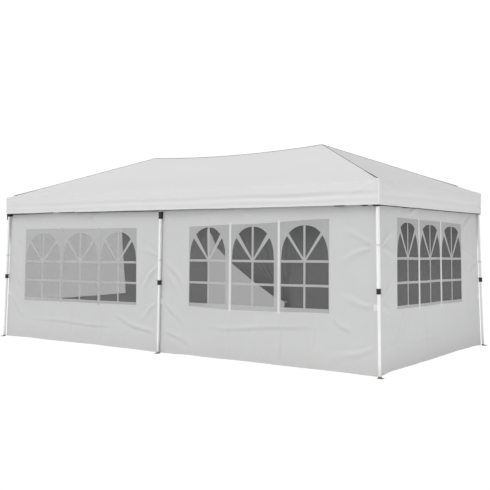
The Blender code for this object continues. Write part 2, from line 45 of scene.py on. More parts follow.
import bmesh
import bpy
from bpy.props import FloatProperty, FloatVectorProperty, IntProperty, PointerProperty
from mathutils import Matrix, Vector, noise

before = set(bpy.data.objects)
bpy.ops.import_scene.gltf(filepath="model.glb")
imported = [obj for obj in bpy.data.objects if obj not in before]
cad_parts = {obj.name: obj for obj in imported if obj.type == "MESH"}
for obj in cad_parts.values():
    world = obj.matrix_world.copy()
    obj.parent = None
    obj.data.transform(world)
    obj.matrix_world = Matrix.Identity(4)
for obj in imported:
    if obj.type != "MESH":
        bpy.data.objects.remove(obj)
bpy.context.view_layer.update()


def centre_of(node):
    low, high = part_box(node)
    return (low + high) / 2


# Read from the frame.
EAVE_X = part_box("canopy_right_end")[1].x
EAVE_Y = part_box("canopy_back")[1].y
PEAK_X = centre_of("right_peak_pole").x
PEAK_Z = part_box("canopy_right_end")[1].z
VALANCE_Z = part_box("canopy_front")[0].z
WALL_FOOT_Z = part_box("back_right_wall")[0].z
WALL_TOP_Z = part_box("back_right_wall")[1].z
MIDDLE_NOTCH_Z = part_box("front_middle_slider")[0].z - 0.001
CORNER_NOTCH_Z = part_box("front_right_slider")[0].z - 0.001

LEG_PLACES = {
    "front_left": (-1, -1),
    "front_middle": (0, -1),
    "front_right": (1, -1),
    "back_left": (-1, 1),
    "back_middle": (0, 1),
    "back_right": (1, 1),
}


class MarqueeSizes(bpy.types.PropertyGroup):
    """The sizes that someone would change on this tent."""

    eave_z: FloatProperty(
        name="Eave height", description="Where the roof turns into the valance",
        default=2.048, unit="LENGTH")
    ridge_sag: FloatProperty(
        name="Ridge sag", description="How far the ridge hangs between the peaks",
        default=0.050, unit="LENGTH")
    slope_sag: FloatProperty(
        name="Slope sag", description="How far each roof slope hangs at its middle",
        default=0.022, unit="LENGTH")
    leg_x: FloatProperty(
        name="Leg top along", description="Corner leg tops, from the middle along the tent",
        default=3.0, unit="LENGTH")
    leg_y: FloatProperty(
        name="Leg top across", description="Leg tops, from the middle across the tent",
        default=1.5, unit="LENGTH")
    leg_top_z: FloatProperty(
        name="Leg top height", description="Height of the leg tops",
        default=2.0, unit="LENGTH")
    lean: FloatProperty(
        name="Lean", description="How far legs and walls lean out for each metre down",
        default=0.0305)
    wall_inset: FloatProperty(
        name="Wall inset", description="From a leg's centre line in to the wall's outer face",
        default=0.022, unit="LENGTH")
    cloth: FloatProperty(
        name="Cloth thickness", description="Coated polyester",
        default=0.0009, unit="LENGTH")
    wall_cell: FloatProperty(
        name="Wall grid", description="Largest cell of the wall meshes",
        default=0.019, unit="LENGTH")
    canopy_cell: FloatProperty(
        name="Canopy grid", description="Largest cell of the canopy mesh",
        default=0.030, unit="LENGTH")
    tape: FloatProperty(
        name="Seam tape", description="Width of the tape around the windows",
        default=0.020, unit="LENGTH")
    muntin: FloatProperty(
        name="Printed bar", description="Width of the printed window bars",
        default=0.027, unit="LENGTH")
    lower_bar_z: FloatProperty(
        name="Lower bar", description="Height of the lower printed bar",
        default=0.917, unit="LENGTH")
    upper_bar_z: FloatProperty(
        name="Upper bar", description="Height of the bar that the arch stands on",
        default=1.184, unit="LENGTH")
    zip_offset: FloatProperty(
        name="Zip", description="A door's zip, from the wall's left edge as seen from behind",
        default=1.650, unit="LENGTH")
    door_head_z: FloatProperty(
        name="Door head", description="Height of the zip across the door's top",
        default=1.620, unit="LENGTH")
    door_folds: IntProperty(
        name="Door folds", description="Folds that the swept door half is gathered into",
        default=11)


class MarqueeColours(bpy.types.PropertyGroup):
    """The colours of the tent, as linear values."""

    roof: FloatVectorProperty(
        name="Roof cloth", description="White coated polyester of the canopy",
        subtype="COLOR", default=(0.775, 0.775, 0.777))
    # The wall cloth is darker than the roof cloth: partly the walls' own duller cloth, and partly
    # painted shade for the walls hanging below the roof.
    wall: FloatVectorProperty(
        name="Wall cloth", description="White coated polyethylene of the walls",
        subtype="COLOR", default=(0.640, 0.642, 0.644))
    tape: FloatVectorProperty(
        name="Tape", description="White seam tape and hems",
        subtype="COLOR", default=(0.790, 0.790, 0.792))
    steel: FloatVectorProperty(
        name="Steel", description="White powder coat",
        subtype="COLOR", default=(0.960, 0.960, 0.960))
    nylon: FloatVectorProperty(
        name="Nylon", description="Black moulded fittings",
        subtype="COLOR", default=(0.016, 0.016, 0.017))
    film: FloatVectorProperty(
        name="Film", description="Clear window film",
        subtype="COLOR", default=(0.030, 0.030, 0.031))
    # The ink is white, but its colour is set to mid grey: painted shade.
    window_print: FloatVectorProperty(
        name="Window print", description="White ink on the window film",
        subtype="COLOR", default=(0.510, 0.511, 0.514))
    # Near-black tape behind the valance hem. Its line below the hem is partly real tape and partly
    # painted shadow under the hem.
    hem_tape_and_shadow: FloatVectorProperty(
        name="Dark tape", description="Black hook tape under the valance and on the ties",
        subtype="COLOR", default=(0.020, 0.020, 0.021))
    # The piping colour is nearly black: partly real piping, and partly painted shade under the seam
    # flaps of the hips and the ridge.
    piping: FloatVectorProperty(
        name="Piping", description="Grey piping along the roof seams",
        subtype="COLOR", default=(0.050, 0.050, 0.051))


class MarqueeLight(bpy.types.PropertyGroup):
    """The studio light."""

    sky: FloatProperty(
        name="Sky", description="Strength of the even light from all round", default=0.55)
    key: FloatProperty(
        name="Key", description="Strength of the soft light from above the front",
        default=1.15)
    fill: FloatProperty(
        name="Fill", description="Strength of the low soft light from the front", default=0.35)
    side: FloatProperty(
        name="Side", description="Power of the soft low light beyond the right end, in watts",
        default=42.0)
    inside: FloatProperty(
        name="Inside", description="Power of the soft light under the roof, in watts",
        default=14.0)


def sizes():
    return bpy.context.scene.marquee_sizes


def colours():
    return bpy.context.scene.marquee_colours


def ease(share):
    share = min(max(share, 0.0), 1.0)
    return share * share * (3 - 2 * share)


def bell(distance, width):
    return math.exp(-((distance / width) ** 2))


def ripple(x, y, seed):
    return noise.noise(Vector((x, y, seed)))


# Node building.


def add_node(tree, kind, **values):
    made = tree.nodes.new(kind)
    for key, value in values.items():
        setattr(made, key, value)
    return made


def connect(tree, source, target):
    tree.links.new(source, target)


def calculate(tree, operation, first, second=None, third=None):
    """A Math node on sockets or plain numbers, and its result."""
    made = add_node(tree, "ShaderNodeMath", operation=operation)
    for socket, value in zip(made.inputs, (first, second, third)):
        if isinstance(value, (int, float)):
            socket.default_value = value
        elif value is not None:
            connect(tree, value, socket)
    return made.outputs[0]


def noise_value(tree, vector, scale, detail=3.0, roughness=0.5):
    made = add_node(tree, "ShaderNodeTexNoise")
    made.inputs["Scale"].default_value = scale
    made.inputs["Detail"].default_value = detail
    made.inputs["Roughness"].default_value = roughness
    connect(tree, vector, made.inputs["Vector"])
    return made.outputs["Fac"]


def new_group(name, inputs, outputs):
    """A shader node group with named sockets: (name, type, default)."""
    group = bpy.data.node_groups.new(name, "ShaderNodeTree")
    for label, kind, default in inputs:
        socket = group.interface.new_socket(label, in_out="INPUT", socket_type=kind)
        if default is not None:
            socket.default_value = default
    for label, kind in outputs:
        group.interface.new_socket(label, in_out="OUTPUT", socket_type=kind)
    entry = add_node(group, "NodeGroupInput")
    leave = add_node(group, "NodeGroupOutput")
    return group, entry.outputs, leave.inputs


FLOAT = "NodeSocketFloat"
VECTOR = "NodeSocketVector"


def weave_group():
    """Crossing threads, as a height and as a faint light and dark."""
    if "woven threads" in bpy.data.node_groups:
        return bpy.data.node_groups["woven threads"]
    sockets = (("Place", VECTOR, None), ("Threads per metre", FLOAT, 900.0))
    group, entry, leave = new_group("woven threads", sockets, (("Height", FLOAT), ("Shade", FLOAT)))
    parts = add_node(group, "ShaderNodeSeparateXYZ")
    connect(group, entry["Place"], parts.inputs[0])
    turns = calculate(group, "MULTIPLY", entry["Threads per metre"], math.pi)
    waves = []
    for axis in ("X", "Y"):
        phase = calculate(group, "MULTIPLY", parts.outputs[axis], turns)
        waves.append(calculate(group, "SINE", phase))
    crossing = calculate(group, "MULTIPLY", waves[0], waves[1])
    height = calculate(group, "MULTIPLY_ADD", crossing, 0.5, 0.5)
    connect(group, height, leave["Height"])
    slub = noise_value(group, entry["Place"], 380.0, 2.0)
    shade = calculate(group, "MULTIPLY_ADD", slub, 0.10, 0.95)
    connect(group, shade, leave["Shade"])
    return group


def handling_group():
    """What folding and packing leave on cloth: soft patches, and small crumples."""
    if "handled cloth" in bpy.data.node_groups:
        return bpy.data.node_groups["handled cloth"]
    sockets = (("Place", VECTOR, None), ("Crumple scale", FLOAT, 9.0), ("Patch depth", FLOAT, 0.05))
    group, entry, leave = new_group("handled cloth", sockets, (("Height", FLOAT), ("Shade", FLOAT)))
    bent = add_node(group, "ShaderNodeTexNoise", noise_type="RIDGED_MULTIFRACTAL")
    bent.inputs["Detail"].default_value = 3.0
    bent.inputs["Roughness"].default_value = 0.45
    connect(group, entry["Place"], bent.inputs["Vector"])
    connect(group, entry["Crumple scale"], bent.inputs["Scale"])
    fine = noise_value(group, entry["Place"], 60.0, 3.0)
    total = calculate(group, "MULTIPLY_ADD", fine, 0.25, bent.outputs["Fac"])
    connect(group, total, leave["Height"])
    patches = noise_value(group, entry["Place"], 2.3, 4.0, 0.55)
    centred = calculate(group, "SUBTRACT", patches, 0.5)
    shade = calculate(group, "MULTIPLY_ADD", centred, entry["Patch depth"], 1.0)
    connect(group, shade, leave["Shade"])
    return group


def dust_group():
    """Dust that gathers towards the ground, as a mask."""
    if "ground dust" in bpy.data.node_groups:
        return bpy.data.node_groups["ground dust"]
    sockets = (("Reach", FLOAT, 0.25), ("Amount", FLOAT, 0.4))
    group, entry, leave = new_group("ground dust", sockets, (("Mask", FLOAT),))
    place = add_node(group, "ShaderNodeTexCoord").outputs["Object"]
    parts = add_node(group, "ShaderNodeSeparateXYZ")
    connect(group, place, parts.inputs[0])
    share = calculate(group, "DIVIDE", parts.outputs["Z"], entry["Reach"])
    low = calculate(group, "SUBTRACT", 1.0, share)
    low.node.use_clamp = True
    blotch = noise_value(group, place, 26.0, 5.0, 0.6)
    mask = calculate(group, "MULTIPLY", low, blotch)
    total = calculate(group, "MULTIPLY", mask, entry["Amount"])
    connect(group, total, leave["Mask"])
    return group


def stitch_group():
    """Two rows of stitches along a tape, as a mask and a height."""
    if "stitch rows" in bpy.data.node_groups:
        return bpy.data.node_groups["stitch rows"]
    sockets = (("Place", VECTOR, None), ("Row offset", FLOAT, 0.007), ("Stitch", FLOAT, 0.006))
    group, entry, leave = new_group("stitch rows", sockets, (("Mask", FLOAT),))
    parts = add_node(group, "ShaderNodeSeparateXYZ")
    connect(group, entry["Place"], parts.inputs[0])
    across = calculate(group, "ABSOLUTE", parts.outputs["Y"])
    away = calculate(group, "SUBTRACT", across, entry["Row offset"])
    near = calculate(group, "ABSOLUTE", away)
    row = calculate(group, "LESS_THAN", near, 0.0007)
    turns = calculate(group, "DIVIDE", parts.outputs["X"], entry["Stitch"])
    step = calculate(group, "FRACT", turns)
    dash = calculate(group, "LESS_THAN", step, 0.68)
    mask = calculate(group, "MULTIPLY", row, dash)
    connect(group, mask, leave["Mask"])
    return group


def place_group(tree, group, **values):
    made = add_node(tree, "ShaderNodeGroup", node_tree=group)
    for key, value in values.items():
        socket = made.inputs[key.replace("_", " ")]
        if isinstance(value, (int, float)):
            socket.default_value = value
        else:
            connect(tree, value, socket)
    return made.outputs


def new_material(name, colour, roughness, metallic=0.0):
    made = bpy.data.materials.new(name)
    made.use_nodes = True
    shader = made.node_tree.nodes["Principled BSDF"]
    shader.inputs["Base Color"].default_value = (*colour, 1.0)
    shader.inputs["Roughness"].default_value = roughness
    shader.inputs["Metallic"].default_value = metallic
    made.diffuse_color = (*colour, 1.0)
    return made, made.node_tree, shader


def shaded_colour(tree, shader, colour, shades):
    """Feeds the base colour with the colour times each of the shades."""
    total = shades[0]
    for shade in shades[1:]:
        total = calculate(tree, "MULTIPLY", total, shade)
    mix = add_node(tree, "ShaderNodeMix", data_type="RGBA", blend_type="MULTIPLY")
    mix.inputs["Factor"].default_value = 1.0
    mix.inputs["A"].default_value = (*colour, 1.0)
    connect(tree, total, mix.inputs["B"])
    connect(tree, mix.outputs["Result"], shader.inputs["Base Color"])
    return mix.outputs["Result"]


def dusted(tree, shader, colour_output, mask, dust=(0.36, 0.33, 0.29)):
    mix = add_node(tree, "ShaderNodeMix", data_type="RGBA")
    connect(tree, mask, mix.inputs["Factor"])
    connect(tree, colour_output, mix.inputs["A"])
    mix.inputs["B"].default_value = (*dust, 1.0)
    connect(tree, mix.outputs["Result"], shader.inputs["Base Color"])


def add_bump(tree, shader, height, distance, strength=1.0, below=None):
    bump = add_node(tree, "ShaderNodeBump")
    bump.inputs["Distance"].default_value = distance
    bump.inputs["Strength"].default_value = strength
    connect(tree, height, bump.inputs["Height"])
    if below is not None:
        connect(tree, below, bump.inputs["Normal"])
    connect(tree, bump.outputs["Normal"], shader.inputs["Normal"])
    return bump.outputs["Normal"]


def once(make):
    """Keeps one copy of each finish, made when it is first asked for."""
    made = {}

    def get(*choice):
        if choice not in made:
            made[choice] = make(*choice)
        return made[choice]

    return get


def cloth_finish(name, colour, threads, crumple, crumple_depth, patch_depth):
    made, tree, shader = new_material(name, colour, 0.62)
    shader.inputs["Sheen Weight"].default_value = 0.12
    shader.inputs["Sheen Roughness"].default_value = 0.5
    place = add_node(tree, "ShaderNodeUVMap", uv_map="cloth").outputs["UV"]
    woven = place_group(tree, weave_group(), Place=place, Threads_per_metre=threads)
    handled = place_group(
        tree, handling_group(), Place=place, Crumple_scale=crumple, Patch_depth=patch_depth)
    dust = place_group(tree, dust_group(), Reach=0.22, Amount=0.28)
    colour_output = shaded_colour(tree, shader, colour, [woven["Shade"], handled["Shade"]])
    dusted(tree, shader, colour_output, dust["Mask"])
    roughness = calculate(tree, "MULTIPLY_ADD", handled["Height"], 0.08, 0.52)
    connect(tree, roughness, shader.inputs["Roughness"])
    creased = add_bump(tree, shader, handled["Height"], crumple_depth)
    add_bump(tree, shader, woven["Height"], 0.00012, 0.6, creased)
    return made


@once
def roof_cloth():
    return cloth_finish("roof_cloth", colours().roof, 1100.0, 3.0, 0.0010, 0.020)


@once
def wall_cloth():
    # Darker than the roof cloth, partly as painted shade.
    return cloth_finish("wall_cloth", colours().wall, 800.0, 5.0, 0.0022, 0.060)


@once
def seam_tape():
    colour = colours().tape
    made, tree, shader = new_material("seam_tape", colour, 0.6)
    place = add_node(tree, "ShaderNodeUVMap", uv_map="cloth").outputs["UV"]
    woven = place_group(tree, weave_group(), Place=place, Threads_per_metre=1300.0)
    stitches = place_group(tree, stitch_group(), Place=place, Row_offset=0.0065)
    thread = calculate(tree, "MULTIPLY_ADD", stitches["Mask"], -0.22, 1.0)
    shaded_colour(tree, shader, colour, [woven["Shade"], thread])
    sunk = add_bump(tree, shader, stitches["Mask"], 0.0005, 0.8)
    add_bump(tree, shader, woven["Height"], 0.0001, 0.6, sunk)
    return made


@once
def hem_tape_and_shadow():
    # Painted shadow: this near-black tape also stands for the shadow line under the valance hem.
    colour = colours().hem_tape_and_shadow
    made, tree, shader = new_material("hem_hook_tape_and_shadow", colour, 0.9)
    place = add_node(tree, "ShaderNodeTexCoord").outputs["Object"]
    fuzz = noise_value(tree, place, 900.0, 2.0)
    lint = noise_value(tree, place, 70.0, 4.0)
    shade = calculate(tree, "MULTIPLY_ADD", lint, 1.1, 0.5)
    shaded_colour(tree, shader, colour, [shade])
    add_bump(tree, shader, fuzz, 0.0006, 0.9)
    return made


@once
def seam_shadow_piping():
    colour = colours().piping
    made, tree, shader = new_material("seam_shadow_piping", colour, 0.75)
    place = add_node(tree, "ShaderNodeTexCoord").outputs["Object"]
    # Painted shade: the noise breaks the dark seam shadow into darker and lighter stretches.
    patchy_shadow = noise_value(tree, place, 6.0, 4.0)
    shade = calculate(tree, "MULTIPLY_ADD", patchy_shadow, 2.2, 0.2)
    shaded_colour(tree, shader, colour, [shade])
    add_bump(tree, shader, noise_value(tree, place, 500.0, 2.0), 0.0004, 0.7)
    return made


@once
def painted_highlight_piping():
    """White piping, coloured brighter than the cloth beside it: a painted highlight where the
    valance corners catch the light.
    """
    # Painted highlight: near white, brighter than the roof cloth.
    colour = (0.95, 0.95, 0.95)
    made, tree, shader = new_material("painted_highlight_piping", colour, 0.4)
    place = add_node(tree, "ShaderNodeUVMap", uv_map="cloth").outputs["UV"]
    woven = place_group(tree, weave_group(), Place=place, Threads_per_metre=1500.0)
    shaded_colour(tree, shader, colour, [woven["Shade"]])
    add_bump(tree, shader, woven["Height"], 0.0002, 0.7)
    return made


@once
def powder_coat():
    colour = colours().steel
    made, tree, shader = new_material("white_powder_coat", colour, 0.34)
    shader.inputs["Coat Roughness"].default_value = 0.25
    place = add_node(tree, "ShaderNodeTexCoord").outputs["Object"]
    handled = noise_value(tree, place, 14.0, 5.0, 0.6)
    shade = calculate(tree, "MULTIPLY_ADD", handled, 0.06, 0.96)
    colour_output = shaded_colour(tree, shader, colour, [shade])
    dust = place_group(tree, dust_group(), Reach=0.16, Amount=0.75)
    dusted(tree, shader, colour_output, dust["Mask"])
    roughness = calculate(tree, "MULTIPLY_ADD", handled, 0.18, 0.26)
    connect(tree, roughness, shader.inputs["Roughness"])
    add_bump(tree, shader, noise_value(tree, place, 650.0, 2.0), 0.00025, 0.5)
    return made


@once
def black_nylon():
    colour = colours().nylon
    made, tree, shader = new_material("black_nylon", colour, 0.45)
    place = add_node(tree, "ShaderNodeTexCoord").outputs["Object"]
    scuffs = noise_value(tree, place, 45.0, 5.0, 0.65)
    shade = calculate(tree, "MULTIPLY_ADD", scuffs, 0.9, 0.6)
    shaded_colour(tree, shader, colour, [shade])
    roughness = calculate(tree, "MULTIPLY_ADD", scuffs, 0.3, 0.32)
    connect(tree, roughness, shader.inputs["Roughness"])
    add_bump(tree, shader, noise_value(tree, place, 1100.0, 2.0), 0.0002, 0.6)
    return made


@once
def zinc_bolt():
    made, tree, shader = new_material("zinc_bolt", (0.62, 0.62, 0.60), 0.35, 1.0)
    place = add_node(tree, "ShaderNodeTexCoord").outputs["Object"]
    stain = noise_value(tree, place, 160.0, 4.0)
    shade = calculate(tree, "MULTIPLY_ADD", stain, 0.35, 0.80)
    shaded_colour(tree, shader, (0.62, 0.62, 0.60), [shade])
    roughness = calculate(tree, "MULTIPLY_ADD", stain, 0.3, 0.22)
    connect(tree, roughness, shader.inputs["Roughness"])
    add_bump(tree, shader, stain, 0.0002, 0.5)
    return made


@once
def foot_steel():
    """The foot plates: galvanised steel, dulled and dirty."""
    colour = (0.20, 0.20, 0.205)
    made, tree, shader = new_material("foot_steel", colour, 0.55, 0.35)
    place = add_node(tree, "ShaderNodeTexCoord").outputs["Object"]
    spangle = noise_value(tree, place, 120.0, 4.0, 0.6)
    shade = calculate(tree, "MULTIPLY_ADD", spangle, 0.9, 0.55)
    colour_output = shaded_colour(tree, shader, colour, [shade])
    dust = place_group(tree, dust_group(), Reach=0.03, Amount=0.9)
    dusted(tree, shader, colour_output, dust["Mask"], (0.22, 0.20, 0.17))
    roughness = calculate(tree, "MULTIPLY_ADD", spangle, 0.35, 0.35)
    connect(tree, roughness, shader.inputs["Roughness"])
    add_bump(tree, shader, spangle, 0.0004, 0.6)
    return made


@once
def zip_coil():
    colour = (0.42, 0.42, 0.43)
    made, tree, shader = new_material("zip_coil", colour, 0.5)
    place = add_node(tree, "ShaderNodeUVMap", uv_map="cloth").outputs["UV"]
    parts = add_node(tree, "ShaderNodeSeparateXYZ")
    connect(tree, place, parts.inputs[0])
    teeth = calculate(tree, "SINE", calculate(tree, "MULTIPLY", parts.outputs["X"], 3000.0))
    shade = calculate(tree, "MULTIPLY_ADD", teeth, 0.22, 0.78)
    shaded_colour(tree, shader, colour, [shade])
    add_bump(tree, shader, teeth, 0.0008, 0.9)
    return made


@once
def window_film(alpha):
    """Clear film, seen through by 1 - alpha at each of its two faces."""
    colour = colours().film
    made, tree, shader = new_material(f"window_film_{round(alpha * 100)}", colour, 0.12)
    shader.inputs["Alpha"].default_value = alpha
    shader.inputs["IOR"].default_value = 1.5
    shader.inputs["Specular IOR Level"].default_value = 0.25
    place = add_node(tree, "ShaderNodeUVMap", uv_map="cloth").outputs["UV"]
    haze = noise_value(tree, place, 5.0, 4.0)
    shade = calculate(tree, "MULTIPLY_ADD", haze, 0.5, 0.75)
    shaded_colour(tree, shader, colour, [shade])
    roughness = calculate(tree, "MULTIPLY_ADD", haze, 0.16, 0.04)
    connect(tree, roughness, shader.inputs["Roughness"])
    add_bump(tree, shader, noise_value(tree, place, 7.0, 3.0), 0.004, 0.5)
    return made


@once
def print_ink(alpha):
    """White ink on the film, coloured mid grey as painted shade. It lets a little of what is behind
    show.
    """
    colour = colours().window_print
    made, tree, shader = new_material(f"window_print_{round(alpha * 100)}", colour, 0.45)
    place = add_node(tree, "ShaderNodeUVMap", uv_map="cloth").outputs["UV"]
    uneven = noise_value(tree, place, 12.0, 5.0, 0.6)
    shade = calculate(tree, "MULTIPLY_ADD", uneven, 0.08, 0.96)
    shaded_colour(tree, shader, colour, [shade])
    cover = calculate(tree, "MULTIPLY_ADD", uneven, 0.06, alpha - 0.03)
    connect(tree, cover, shader.inputs["Alpha"])
    add_bump(tree, shader, noise_value(tree, place, 420.0, 2.0), 0.0001, 0.5)
    return made


# Meshes.


def take(*objects):
    """Selects these objects alone, with the first one active."""
    if bpy.context.mode != "OBJECT":
        bpy.ops.object.mode_set(mode="OBJECT")
    bpy.ops.object.select_all(action="DESELECT")
    for piece in objects:
        piece.select_set(True)
    bpy.context.view_layer.objects.active = objects[0]


def apply_modifier(piece, kind, **values):
    take(piece)
    modifier = piece.modifiers.new(kind.lower(), kind)
    for key, value in values.items():
        setattr(modifier, key, value)
    bpy.ops.object.modifier_apply(modifier=modifier.name)


def smooth(piece, degrees=35):
    take(piece)
    bpy.ops.object.shade_smooth_by_angle(angle=math.radians(degrees))


def dress(piece, look, body="tent"):
    """Gives a finished piece its only material and the body that it moves with."""
    piece.data.materials.clear()
    piece.data.materials.append(look)
    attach(piece, body)
    return piece


def object_from(name, bm):
    mesh = bpy.data.meshes.new(name)
    bm.to_mesh(mesh)
    bm.free()
    piece = bpy.data.objects.new(name, mesh)
    bpy.context.collection.objects.link(piece)
    return piece


def divided(stops, cell):
    """The stops in order, with each gap cut into equal steps no longer than the cell."""
    stops = sorted(set(stops))
    places = [stops[0]]
    for low, high in zip(stops, stops[1:]):
        steps = max(1, math.ceil((high - low) / cell - 1e-6))
        places += [low + (high - low) * i / steps for i in range(1, steps + 1)]
    return places


def set_cloth_map(bm, places):
    """Writes the flat place of each vertex, in metres, as the UV map that cloth reads."""
    layer = bm.loops.layers.uv.new("cloth")
    for face in bm.faces:
        for loop in face.loops:
            loop[layer].uv = places[loop.vert]


def cloth_grid(name, columns, rows, place, wanted=None):
    """One layer of cloth from a grid of cells. place gives a point for an along and a z."""
    bm = bmesh.new()
    verts = {}
    flat = {}

    def vert(i, j):
        if (i, j) not in verts:
            made = bm.verts.new(place(columns[i], rows[j]))
            verts[i, j] = made
            flat[made] = (columns[i], rows[j])
        return verts[i, j]

    for i in range(len(columns) - 1):
        middle = (columns[i] + columns[i + 1]) / 2
        for j in range(len(rows) - 1):
            if wanted and not wanted(middle, (rows[j] + rows[j + 1]) / 2):
                continue
            bm.faces.new((vert(i, j), vert(i + 1, j), vert(i + 1, j + 1), vert(i, j + 1)))
    set_cloth_map(bm, flat)
    return object_from(name, bm)


def face_outwards(piece, away):
    """Turns a single layer so that its faces look along away(centre)."""
    mesh = piece.data
    total = sum(face.normal.dot(away(face.center)) * face.area for face in mesh.polygons)
    if total < 0:
        mesh.flip_normals()


def cloth_area(piece):
    return sum(face.area for face in piece.data.polygons)


def thicken(piece, thickness, offset=0.0):
    apply_modifier(piece, "SOLIDIFY", thickness=thickness, offset=offset)
    smooth(piece, 50)


# Walls.


class Wall:
    """A side of the tent: where a place along it, a height and a distance out come to."""

    def __init__(self, along_x, sign, folds=(), window=None, heights=None, hem=0.028, panes=3,
                 askew=None):
        self.along_x = along_x
        self.sign = sign
        self.folds = folds
        self.window = window
        self.heights = heights
        self.hem = hem
        self.panes = panes
        self.askew = askew
        self.seed = 3.7 * sign + (11.3 if along_x else 29.1)
        self.edge = sizes().leg_x if along_x else sizes().leg_y - 0.0012
        self.half = sizes().leg_y if along_x else sizes().leg_x

    def lean_out(self, z):
        return sizes().lean * (sizes().leg_top_z - z) - sizes().wall_inset

    def leg_distance(self, along):
        legs = (-self.edge, 0.0, self.edge) if self.along_x else (-self.edge, self.edge)
        return min(abs(along - leg) for leg in legs)

    def window_calm(self, along, z):
        """1 well away from the window, and 0.25 over its panes, which the film keeps flat."""
        if not self.window:
            return 1.0
        left = self.window[0] - along
        right = along - self.window[1]
        away = max(left, right, self.heights[0] - z, z - self.heights[1])
        return 0.10 + 0.90 * ease((away + 0.01) / 0.13)

    def relief(self, along, z):
        """How far the cloth stands out from a flat wall, with its folds and creases."""
        total = 0.0095 * ripple(along * 1.5, z * 1.1, self.seed)
        total += 0.0040 * ripple(along * 4.5, z * 3.2, self.seed + 5)
        total += 0.0016 * ripple(along * 11.0, z * 8.0, self.seed + 9)
        for fold in self.folds:
            total += 2.1 * fold_height(fold, along, z)
        total *= self.window_calm(along, z)
        loose = ease(self.leg_distance(along) / 0.16)
        total *= 0.12 + 0.88 * loose
        total *= ease((WALL_TOP_Z + 0.02 - z) / 0.25)
        if total > 0:
            total *= ease((self.leg_distance(along) - 0.02) / 0.10)
        if z > 1.60:
            total = max(total, -(0.0015 + sizes().lean * (sizes().leg_top_z - z)))
        return min(max(total, -0.022), 0.018)

    def rise(self, along, z):
        """The hem hangs in low arches between the legs."""
        span = 0.5 if not self.along_x else 1.0
        leg = ease(self.leg_distance(along) / (0.55 * span))
        wave = 0.75 + 0.5 * ripple(along * 2.1, 0.0, self.seed)
        return self.hem * leg * wave * (1 - ease((z - WALL_FOOT_Z) / 0.30))

    def place(self, along, z, out=0.0):
        drawn_z = z + self.rise(along, z)
        lean_out = self.lean_out(drawn_z)
        spread = ease((abs(along) - (self.edge - 0.30)) / 0.30)
        moved = along + math.copysign(spread * lean_out, along)
        if self.askew:
            low, high = self.heights
            middle = ease((WALL_TOP_Z - z) / 0.30) * ease((z - WALL_FOOT_Z) / 0.45)
            down = min(max((high - z) / (high - low), 0.0), 1.0)
            head = ease((z - high + 0.055) / 0.05) * ease((WALL_TOP_Z - z) / 0.26)
            foot = ease((low + 0.038 - z) / 0.036) * ease((z - WALL_FOOT_Z) / 0.40)
            drawn_z += middle * between(self.askew["lift"], along)
            drawn_z += head * between(self.askew["head_lift"], along)
            drawn_z += foot * between(self.askew["foot_lift"], along)
            moved += middle * between(self.askew["shift"], along)
            moved += middle * down * between(self.askew["foot_shift"], along)
        across = self.sign * (self.half + lean_out + self.relief(along, z) + out)
        if self.along_x:
            return Vector((moved, across, drawn_z))
        return Vector((across, moved, drawn_z))

    def away(self, centre):
        return Vector((0, self.sign, 0)) if self.along_x else Vector((self.sign, 0, 0))


def fold_height(fold, along, z):
    """A fold runs from its start to its end. A pulled fold starts sharp and fades out."""
    start_a, start_z, end_a, end_z, height, width, pulled = fold
    run_a = end_a - start_a
    run_z = end_z - start_z
    length = math.hypot(run_a, run_z)
    if length < 1e-6:
        return 0.0
    step_a = along - start_a
    step_z = z - start_z
    share = (step_a * run_a + step_z * run_z) / (length * length)
    if share < -0.4 or share > 1.4:
        return 0.0
    side = (step_a * run_z - step_z * run_a) / length
    wander = 0.35 * width * math.sin(7.0 * share + 13.0 * start_z + 5.0 * start_a)
    side += wander
    if pulled:
        strength = ease(share / 0.08 + 0.3) * ease((1.25 - share) / 1.1)
        reach = width * (0.45 + 0.9 * max(share, 0.0))
    else:
        strength = ease((share + 0.2) / 0.45) * ease((1.2 - share) / 0.45)
        reach = width
    if abs(side) > 4 * reach:
        return 0.0
    # One side of a fold is steeper than the other.
    skew = side / reach
    return height * strength * (bell(skew, 1.0) - 0.45 * bell(skew - 1.5, 0.9))


FRONT_RIGHT_FOLDS = (
    (0.03, 1.22, 0.45, 0.81, 0.010, 0.040, True),
    (0.05, 1.16, 0.34, 0.62, 0.006, 0.035, True),
    (0.05, 0.67, 0.42, 0.38, 0.008, 0.035, True),
    (0.00, 1.80, 0.23, 1.42, 0.008, 0.035, True),
    (0.68, 1.76, 0.88, 1.62, 0.006, 0.030, False),
    (1.30, 1.78, 1.52, 1.66, 0.005, 0.030, False),
    (2.98, 1.37, 2.52, 1.56, 0.009, 0.035, True),
    (2.98, 1.37, 2.52, 1.17, 0.008, 0.035, True),
    (2.99, 0.72, 2.55, 0.80, 0.008, 0.035, True),
    (2.44, 0.60, 2.68, 0.45, 0.006, 0.030, False),
    (1.09, 0.62, 1.07, 0.08, 0.004, 0.022, False),
    (1.46, 0.60, 1.47, 0.06, 0.004, 0.022, False),
    (1.81, 0.60, 1.83, 0.06, -0.004, 0.022, False),
    (2.23, 0.58, 2.22, 0.08, 0.004, 0.022, False),
    (0.90, 0.41, 2.12, 0.48, 0.005, 0.024, False),
    (0.10, 0.30, 0.60, 0.12, 0.006, 0.040, True),
    (2.95, 0.30, 2.40, 0.10, 0.006, 0.040, True),
)

